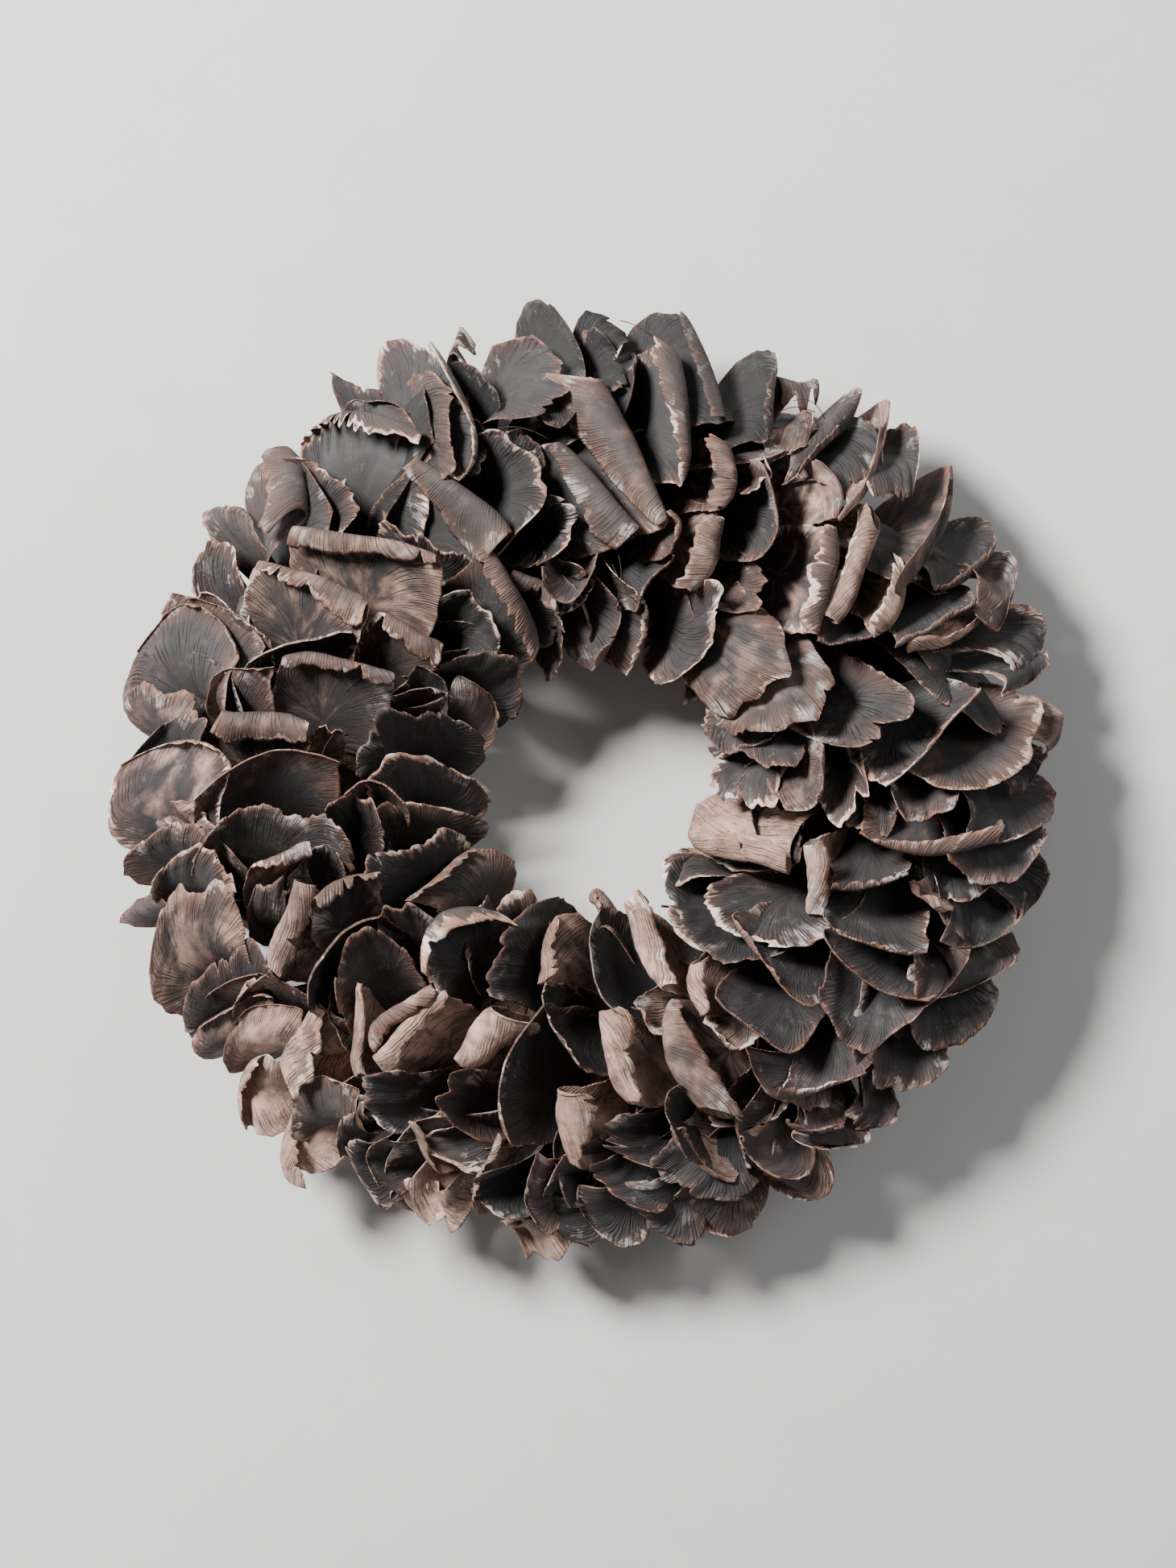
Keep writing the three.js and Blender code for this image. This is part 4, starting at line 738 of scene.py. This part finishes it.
def straw_piece(materials):
    """The straw ring: bundled straws laid round it, wound with twine."""
    chance = np.random.default_rng(11)
    sheaf = Sheaf()
    turn = np.linspace(0, 2 * math.pi, CORE_STEPS + 1)[:-1]
    tilt = np.linspace(0, 2 * math.pi, CORE_SIDES + 1)[:-1]
    core = ring_place(turn[:, None], tilt[None, :], CORE_SECTION)
    core[..., 2] = np.maximum(core[..., 2], 1)
    place = np.arange(CORE_STEPS * CORE_SIDES).reshape(CORE_STEPS, CORE_SIDES)
    right = np.roll(place, -1, axis=1)
    faces = np.stack([place, np.roll(place, -1, axis=0), np.roll(right, -1, axis=0), right], axis=-1)
    sheaf.add(core.reshape(-1, 3), faces.reshape(-1, 4), 0, seed=1.0)
    for straw in range(STRAWS):
        span = 0.6 + 0.9 * chance.random()
        steps = np.linspace(0, 1, STRAW_STEPS)
        start = 2 * math.pi * chance.random()
        lie = 2 * math.pi * straw / STRAWS_ROUND + 0.25 * (chance.random() - 0.5)
        tilt = lie + 0.35 * (chance.random() - 0.5) * steps
        depth = RING_SECTION - 1.3 + 0.5 * chance.random() - 2.6 * np.abs(2 * steps - 1) ** 8
        path = ring_place(start + span * steps, tilt, depth)
        thick = 0.9 + 0.35 * chance.random()
        path[:, 2] = np.maximum(path[:, 2], thick)
        points, faces = tube(path, thick)
        along = np.repeat(steps * span * RING_RADIUS, TUBE_SIDES)
        sheaf.add(points, faces, 0, seed=chance.random() * 40, along=along, tint=chance.random())
    steps = np.linspace(0, 1, TWINE_TURNS * TWINE_TURN_STEPS)
    path = ring_place(2 * math.pi * steps, 2 * math.pi * TWINE_TURNS * steps, RING_SECTION + 0.4)
    path[:, 2] = np.maximum(path[:, 2], TWINE_RADIUS)
    points, faces = tube(path, TWINE_RADIUS)
    along = np.repeat(steps * TWINE_TURNS * TWINE_TURN_LENGTH, TUBE_SIDES)
    sheaf.add(points, faces, 1, along=along)
    return sheaf.mesh("straw_base", materials)


class Net:
    """Builds the nodes of a material from short calls."""

    def __init__(self, name):
        self.material = bpy.data.materials.new(name)
        self.material.use_nodes = True
        self.tree = self.material.node_tree
        self.shader = self.tree.nodes["Principled BSDF"]

    def put(self, target, value):
        if isinstance(value, bpy.types.NodeSocket):
            self.tree.links.new(value, target)
        elif isinstance(value, (tuple, list)) and len(value) == 3 and target.type == "RGBA":
            target.default_value = (*value, 1)
        else:
            target.default_value = value

    def node(self, kind, output=0, values=None, **settings):
        made = self.tree.nodes.new("ShaderNode" + kind)
        for name, value in settings.items():
            setattr(made, name, value)
        for name, value in (values or {}).items():
            self.put(made.inputs[name], value)
        return made.outputs[output]

    def value(self, name):
        return self.node("Attribute", "Fac", attribute_name=name)

    def math(self, operation, first, second=0.0, clamp=False):
        return self.node("Math", values={0: first, 1: second}, operation=operation, use_clamp=clamp)

    def plus(self, first, second):
        return self.math("ADD", first, second)

    def times(self, first, second):
        return self.math("MULTIPLY", first, second)

    def own_number(self, seed, factor):
        """A number from 0 to 1 that differs from petal to petal."""
        return self.math("FRACT", self.times(seed, factor))

    def vector(self, x, y, z):
        return self.node("CombineXYZ", values={0: x, 1: y, 2: z})

    def noise(self, vector, scale, detail=2.0, rough=0.5):
        return self.node("TexNoise", "Fac", {"Vector": vector, "Scale": scale, "Detail": detail,
                                             "Roughness": rough})

    def step(self, value, low, high, start=0.0, end=1.0):
        """Goes smoothly from start to end while the value goes from low to high."""
        return self.node("MapRange", values={"Value": value, "From Min": low, "From Max": high,
                                             "To Min": start, "To Max": end}, interpolation_type="SMOOTHSTEP")

    def mix(self, share, first, second):
        mixed = self.tree.nodes.new("ShaderNodeMix")
        mixed.data_type = "RGBA"
        self.put(mixed.inputs[0], share)
        self.put(mixed.inputs[6], first)
        self.put(mixed.inputs[7], second)
        return mixed.outputs[2]

    def finish(self, colour, roughness, height, distance, strength, specular):
        bump = self.node("Bump", values={"Height": height, "Distance": distance, "Strength": strength})
        self.put(self.shader.inputs["Base Color"], colour)
        self.put(self.shader.inputs["Roughness"], roughness)
        self.put(self.shader.inputs["Normal"], bump)
        self.put(self.shader.inputs["Specular IOR Level"], specular)
        return self.material


def petal_material():
    """Grey smooth faces with ribs and streaks towards a warm, worn and rusty rim, with painted highlight on
    pale spots and rims, and painted shade towards the base and on petals of low tint.
    """
    net = Net("palm_petal")
    across, along, edge = net.value("across"), net.value("along"), net.value("edge")
    tint, seed, back = net.value("tint"), net.value("seed"), net.value("back")
    place = net.node("TexCoord", "Object")
    own = net.own_number(seed, 0.731)

    # Ribs and bands that run along the petal, and patches that lie over them
    spread = net.vector(net.times(across, 0.03), net.times(along, 0.03), seed)
    slant = net.times(along, net.times(net.math("SINE", seed), 0.3))
    bent = net.plus(net.plus(across, slant), net.times(net.noise(spread, 1.0), 8.0))
    ribs = net.noise(net.vector(bent, net.times(along, 0.03), seed), 1.3, 3.0, 0.6)
    bands = net.noise(net.vector(net.times(bent, 0.14), net.times(along, 0.03), seed), 1.0)
    ridges = net.math("ABSOLUTE", net.math("SINE", net.times(bent, 2.1)))
    folds = net.math("ABSOLUTE", net.math("SINE", net.times(bent, 1.2)))
    runs = net.noise(net.vector(net.times(bent, 0.5), net.times(along, 0.05), seed), 1.0)
    breaks = net.noise(net.vector(bent, net.times(along, 0.16), seed), 0.5, 3.0, 0.6)
    wander = net.noise(net.vector(net.times(across, 0.35), net.times(along, 0.12), seed), 1.0, 3.0, 0.7)
    patches = net.noise(spread, 2.2, 3.0)
    fine = net.noise(place, 900.0, 1.0)
    worn = net.noise(place, 75.0, 4.0, 0.74)
    scuffs = net.noise(place, 34.0, 2.0, 0.6)

    # Zones by the distance from the rim in mm, with borders that the patches shift
    reach = net.plus(edge, net.times(patches, 30.0))
    ridged_zone = net.step(reach, 39.0, 20.0)
    rim_zone = net.step(reach, 31.0, 12.0)
    streak_zone = net.times(net.step(reach, 46.0, 38.0), net.step(reach, 20.0, 32.0))

    # The face: grey or warm by tint and zone, with cream and brown on some petals
    warm = net.times(net.math("SUBTRACT", tint, 0.6), 1.1)
    warm = net.plus(warm, net.times(rim_zone, 0.75))
    warm = net.math("ADD", warm, net.times(net.math("SUBTRACT", patches, 0.52), 1.4), clamp=True)
    colour = net.mix(warm, net.mix(bands, *GREY_FACE), net.mix(bands, *TAN_FACE))
    cream = net.step(net.plus(tint, net.times(patches, 0.5)), 0.98, 1.2, 0.0, 0.85)
    colour = net.mix(net.times(cream, net.step(worn, 0.38, 0.56, 0.45, 1.0)), colour, CREAM)
    colour = net.mix(net.times(own, 0.35), colour, (0.035, 0.031, 0.03))
    browned = net.times(net.times(net.own_number(seed, 1.37), warm), 0.55)
    colour = net.mix(browned, colour, net.mix(bands, *BROWN_FACE))

    # Dark ribs, grooves and streaks
    dark_ribs = net.times(net.step(ribs, 0.52, 0.36), net.step(ridged_zone, 0.0, 1.0, 0.06, 0.6))
    colour = net.mix(dark_ribs, colour, (0.035, 0.029, 0.028))
    groove = net.times(net.step(ridges, 0.55, 0.05, 0.0, 0.85), net.step(breaks, 0.42, 0.6))
    colour = net.mix(net.times(groove, ridged_zone), colour, (0.03, 0.024, 0.023))
    streaks = net.times(net.step(folds, 0.55, 0.1), net.step(runs, 0.46, 0.6))
    streaked = net.step(net.own_number(seed, 1.91), 0.25, 0.75)
    streaks = net.times(streaks, net.times(streak_zone, streaked))
    colour = net.mix(net.times(streaks, 0.85), colour, (0.02, 0.018, 0.018))

    # Pale scuffs, and pale spots that are partly worn and partly painted highlight
    scuffed = net.times(net.step(scuffs, 0.55, 0.63, 0.0, 0.8), net.step(rim_zone, 0.2, 0.8))
    scuffed_petal = net.times(net.step(ribs, 0.38, 0.54), net.step(own, 0.35, 0.7))
    scuff_tone = net.mix(net.step(worn, 0.38, 0.58), *SCUFF)
    colour = net.mix(net.times(scuffed, scuffed_petal), colour, scuff_tone)
    # Pale spots: partly real wear, partly painted highlight
    pale = net.times(net.step(worn, 0.57, 0.65, 0.0, 0.7), net.step(ribs, 0.36, 0.56))
    colour = net.mix(net.times(pale, net.step(rim_zone, 0.0, 1.0, 0.12, 1.0)), colour, WORN_SPOT_AND_HIGHLIGHT)

    # The rim: rusty in places, and pale on some petals, partly its torn-down inside and partly painted
    # highlight
    rust = net.step(net.plus(edge, net.times(wander, 26.0)), 14.8, 10.6, 0.0, 0.5)
    colour = net.mix(rust, colour, RUST)
    rim = net.plus(net.times(breaks, 16.0), net.times(patches, 18.0))
    broad = net.step(net.own_number(seed, 3.31), 0.4, 0.9, 0.0, 3.2)
    rim = net.step(net.plus(net.math("SUBTRACT", edge, broad), rim), 17.4, 15.4)
    rim = net.times(rim, net.step(net.own_number(seed, 2.13), 0.3, 0.85, 0.15, 0.95))
    colour = net.mix(rim, colour, net.mix(net.step(worn, 0.4, 0.6), *TORN_RIM_AND_HIGHLIGHT))

    # Specks, painted shade deep in the wreath, petals of low tint darkened partly as painted shade, and warm
    # backs
    specks = net.node("TexVoronoi", "Distance", {"Vector": place, "Scale": 210.0})
    few = net.times(net.step(specks, 0.14, 0.07, 0.0, 0.7), net.step(worn, 0.5, 0.42))
    colour = net.mix(few, colour, (0.02, 0.017, 0.016))
    # Painted shade: darker towards the base of each petal, deep in the wreath
    shade = net.step(net.plus(edge, net.times(patches, 12.0)), 20.0, 60.0, 0.0, 0.6)
    colour = net.mix(shade, colour, (0.02, 0.019, 0.019))
    # Petals of low tint darkened: painted shade on those that lie deep or behind, and partly their own darker
    # tone
    colour = net.mix(net.step(tint, 0.5, 0.15, 0.0, 0.66), colour, (0.012, 0.012, 0.012))
    colour = net.mix(net.times(back, 0.12), colour, (0.24, 0.16, 0.125))

    # Relief
    furrows = net.times(ridges, net.times(ridged_zone, net.step(breaks, 0.35, 0.65)))
    height = net.times(ribs, net.step(ridged_zone, 0.0, 1.0, 0.12, 0.7))
    height = net.plus(height, net.times(furrows, 0.35))
    height = net.math("SUBTRACT", height, net.times(streaks, 0.6))
    height = net.plus(height, net.times(fine, 0.12))
    height = net.plus(height, net.times(worn, net.times(rim_zone, 0.5)))
    roughness = net.step(worn, 0.2, 0.8, 0.5, 0.8)
    return net.finish(colour, roughness, height, 0.001, 0.9, 0.24)


def padding_material():
    net = Net("husk_padding")
    place = net.node("TexCoord", "Object")
    clumps = net.noise(place, 120.0, 5.0, 0.7)
    fine = net.noise(place, 700.0, 3.0)
    colour = net.mix(clumps, (0.012, 0.009, 0.007), (0.075, 0.05, 0.033))
    colour = net.mix(net.step(fine, 0.55, 0.75, 0.0, 0.4), colour, (0.14, 0.1, 0.065))
    return net.finish(colour, 0.95, net.plus(clumps, fine), 0.0015, 0.9, 0.1)


def straw_material():
    net = Net("straw")
    along, seed, tint = net.value("along"), net.value("seed"), net.value("tint")
    place = net.node("TexCoord", "Object")
    grain = net.noise(place, 420.0, 4.0)
    joints = net.noise(net.vector(net.times(along, 0.06), seed, 0.0), 1.0, 3.0)
    colour = net.mix(tint, (0.34, 0.23, 0.1), (0.56, 0.43, 0.23))
    colour = net.mix(net.step(joints, 0.42, 0.62, 0.0, 0.55), colour, (0.2, 0.13, 0.06))
    colour = net.mix(net.step(grain, 0.4, 0.7, 0.0, 0.35), colour, (0.66, 0.55, 0.34))
    return net.finish(colour, 0.55, grain, 0.0004, 0.5, 0.4)


def twine_material():
    net = Net("twine")
    along = net.value("along")
    place = net.node("TexCoord", "Object")
    twist = net.math("ABSOLUTE", net.math("SINE", net.times(along, 2.4)))
    fuzz = net.noise(place, 1500.0, 2.0)
    colour = net.mix(twist, (0.11, 0.08, 0.045), (0.33, 0.26, 0.16))
    return net.finish(colour, 0.9, net.plus(twist, fuzz), 0.0003, 0.7, 0.2)


def floor_material():
    net = Net("pale_floor")
    place = net.node("TexCoord", "Object")
    mottle = net.noise(place, 30.0, 4.0)
    colour = net.mix(mottle, (0.70, 0.69, 0.68), (0.74, 0.735, 0.725))
    return net.finish(colour, 0.9, mottle, 0.0001, 0.1, 0.2)


def area_light(name, place, size, power, colour):
    light = bpy.data.lights.new(name, "AREA")
    light.shape = "DISK"
    light.size = size
    light.energy = power
    light.color = colour
    lamp = bpy.data.objects.new(name, light)
    lamp.location = place
    lamp.rotation_euler = (Vector(LIGHT_TARGET) - Vector(place)).to_track_quat("-Z", "Y").to_euler()
    bpy.context.scene.collection.objects.link(lamp)


# The ring's middle, on the ground, in metres
low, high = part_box("straw_ring")
RING_PLACE = np.array([(low[0] + high[0]) / 2, (low[1] + high[1]) / 2, low[2]])

# Petals, one piece for each bunch of the part
petal_look = petal_material()
padding_look = padding_material()
sheaves = [Sheaf() for _ in range(BUNCHES)]
for petal in all_petals():
    add_petal(sheaves[bunch_of(petal)], petal)
add_loose_fibres(sheaves[0])
for bunch, sheaf in enumerate(sheaves):
    add_padding(sheaf, bunch, np.random.default_rng(700 + bunch))
    hour = bunch or 12
    piece = sheaf.mesh(f"fine_petals_{hour:02d}", [petal_look, padding_look])
    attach(piece, "root")
    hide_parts(f"petals_{hour:02d}")

straw = straw_piece([straw_material(), twine_material()])
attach(straw, "root")
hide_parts("straw_ring")

# Floor, light and camera
floor_mesh = bpy.data.meshes.new("floor")
floor_corners = [(x * FLOOR_REACH, y * FLOOR_REACH, 0) for x, y in ((-1, -1), (1, -1), (1, 1), (-1, 1))]
floor_mesh.from_pydata(floor_corners, [], [(0, 1, 2, 3)])
floor_mesh.materials.append(floor_material())
floor = bpy.data.objects.new("floor", floor_mesh)
bpy.context.scene.collection.objects.link(floor)

area_light("key", KEY_PLACE, KEY_SIZE, KEY_POWER, KEY_COLOUR)
area_light("fill", FILL_PLACE, FILL_SIZE, FILL_POWER, FILL_COLOUR)
world = bpy.data.worlds.new("studio")
world.use_nodes = True
world.node_tree.nodes["Background"].inputs["Color"].default_value = SKY_COLOUR
world.node_tree.nodes["Background"].inputs["Strength"].default_value = SKY_STRENGTH
bpy.context.scene.world = world

scale = OVERALL_DIAMETER / PICTURE_DIAMETER * MM
camera_data = bpy.data.cameras.new("camera")
camera_data.sensor_width = SENSOR
camera_data.lens = SENSOR * (EYE_HEIGHT - WIDEST_HEIGHT) * MM / (PICTURE_HEIGHT * scale)
camera = bpy.data.objects.new("camera", camera_data)
aside = (PICTURE_WIDTH / 2 - PICTURE_CENTRE_X) * scale
upward = (PICTURE_CENTRE_Y - PICTURE_HEIGHT / 2) * scale
camera.location = (RING_PLACE[0] + aside, RING_PLACE[1] + upward, EYE_HEIGHT * MM)
bpy.context.scene.collection.objects.link(camera)
bpy.context.scene.camera = camera
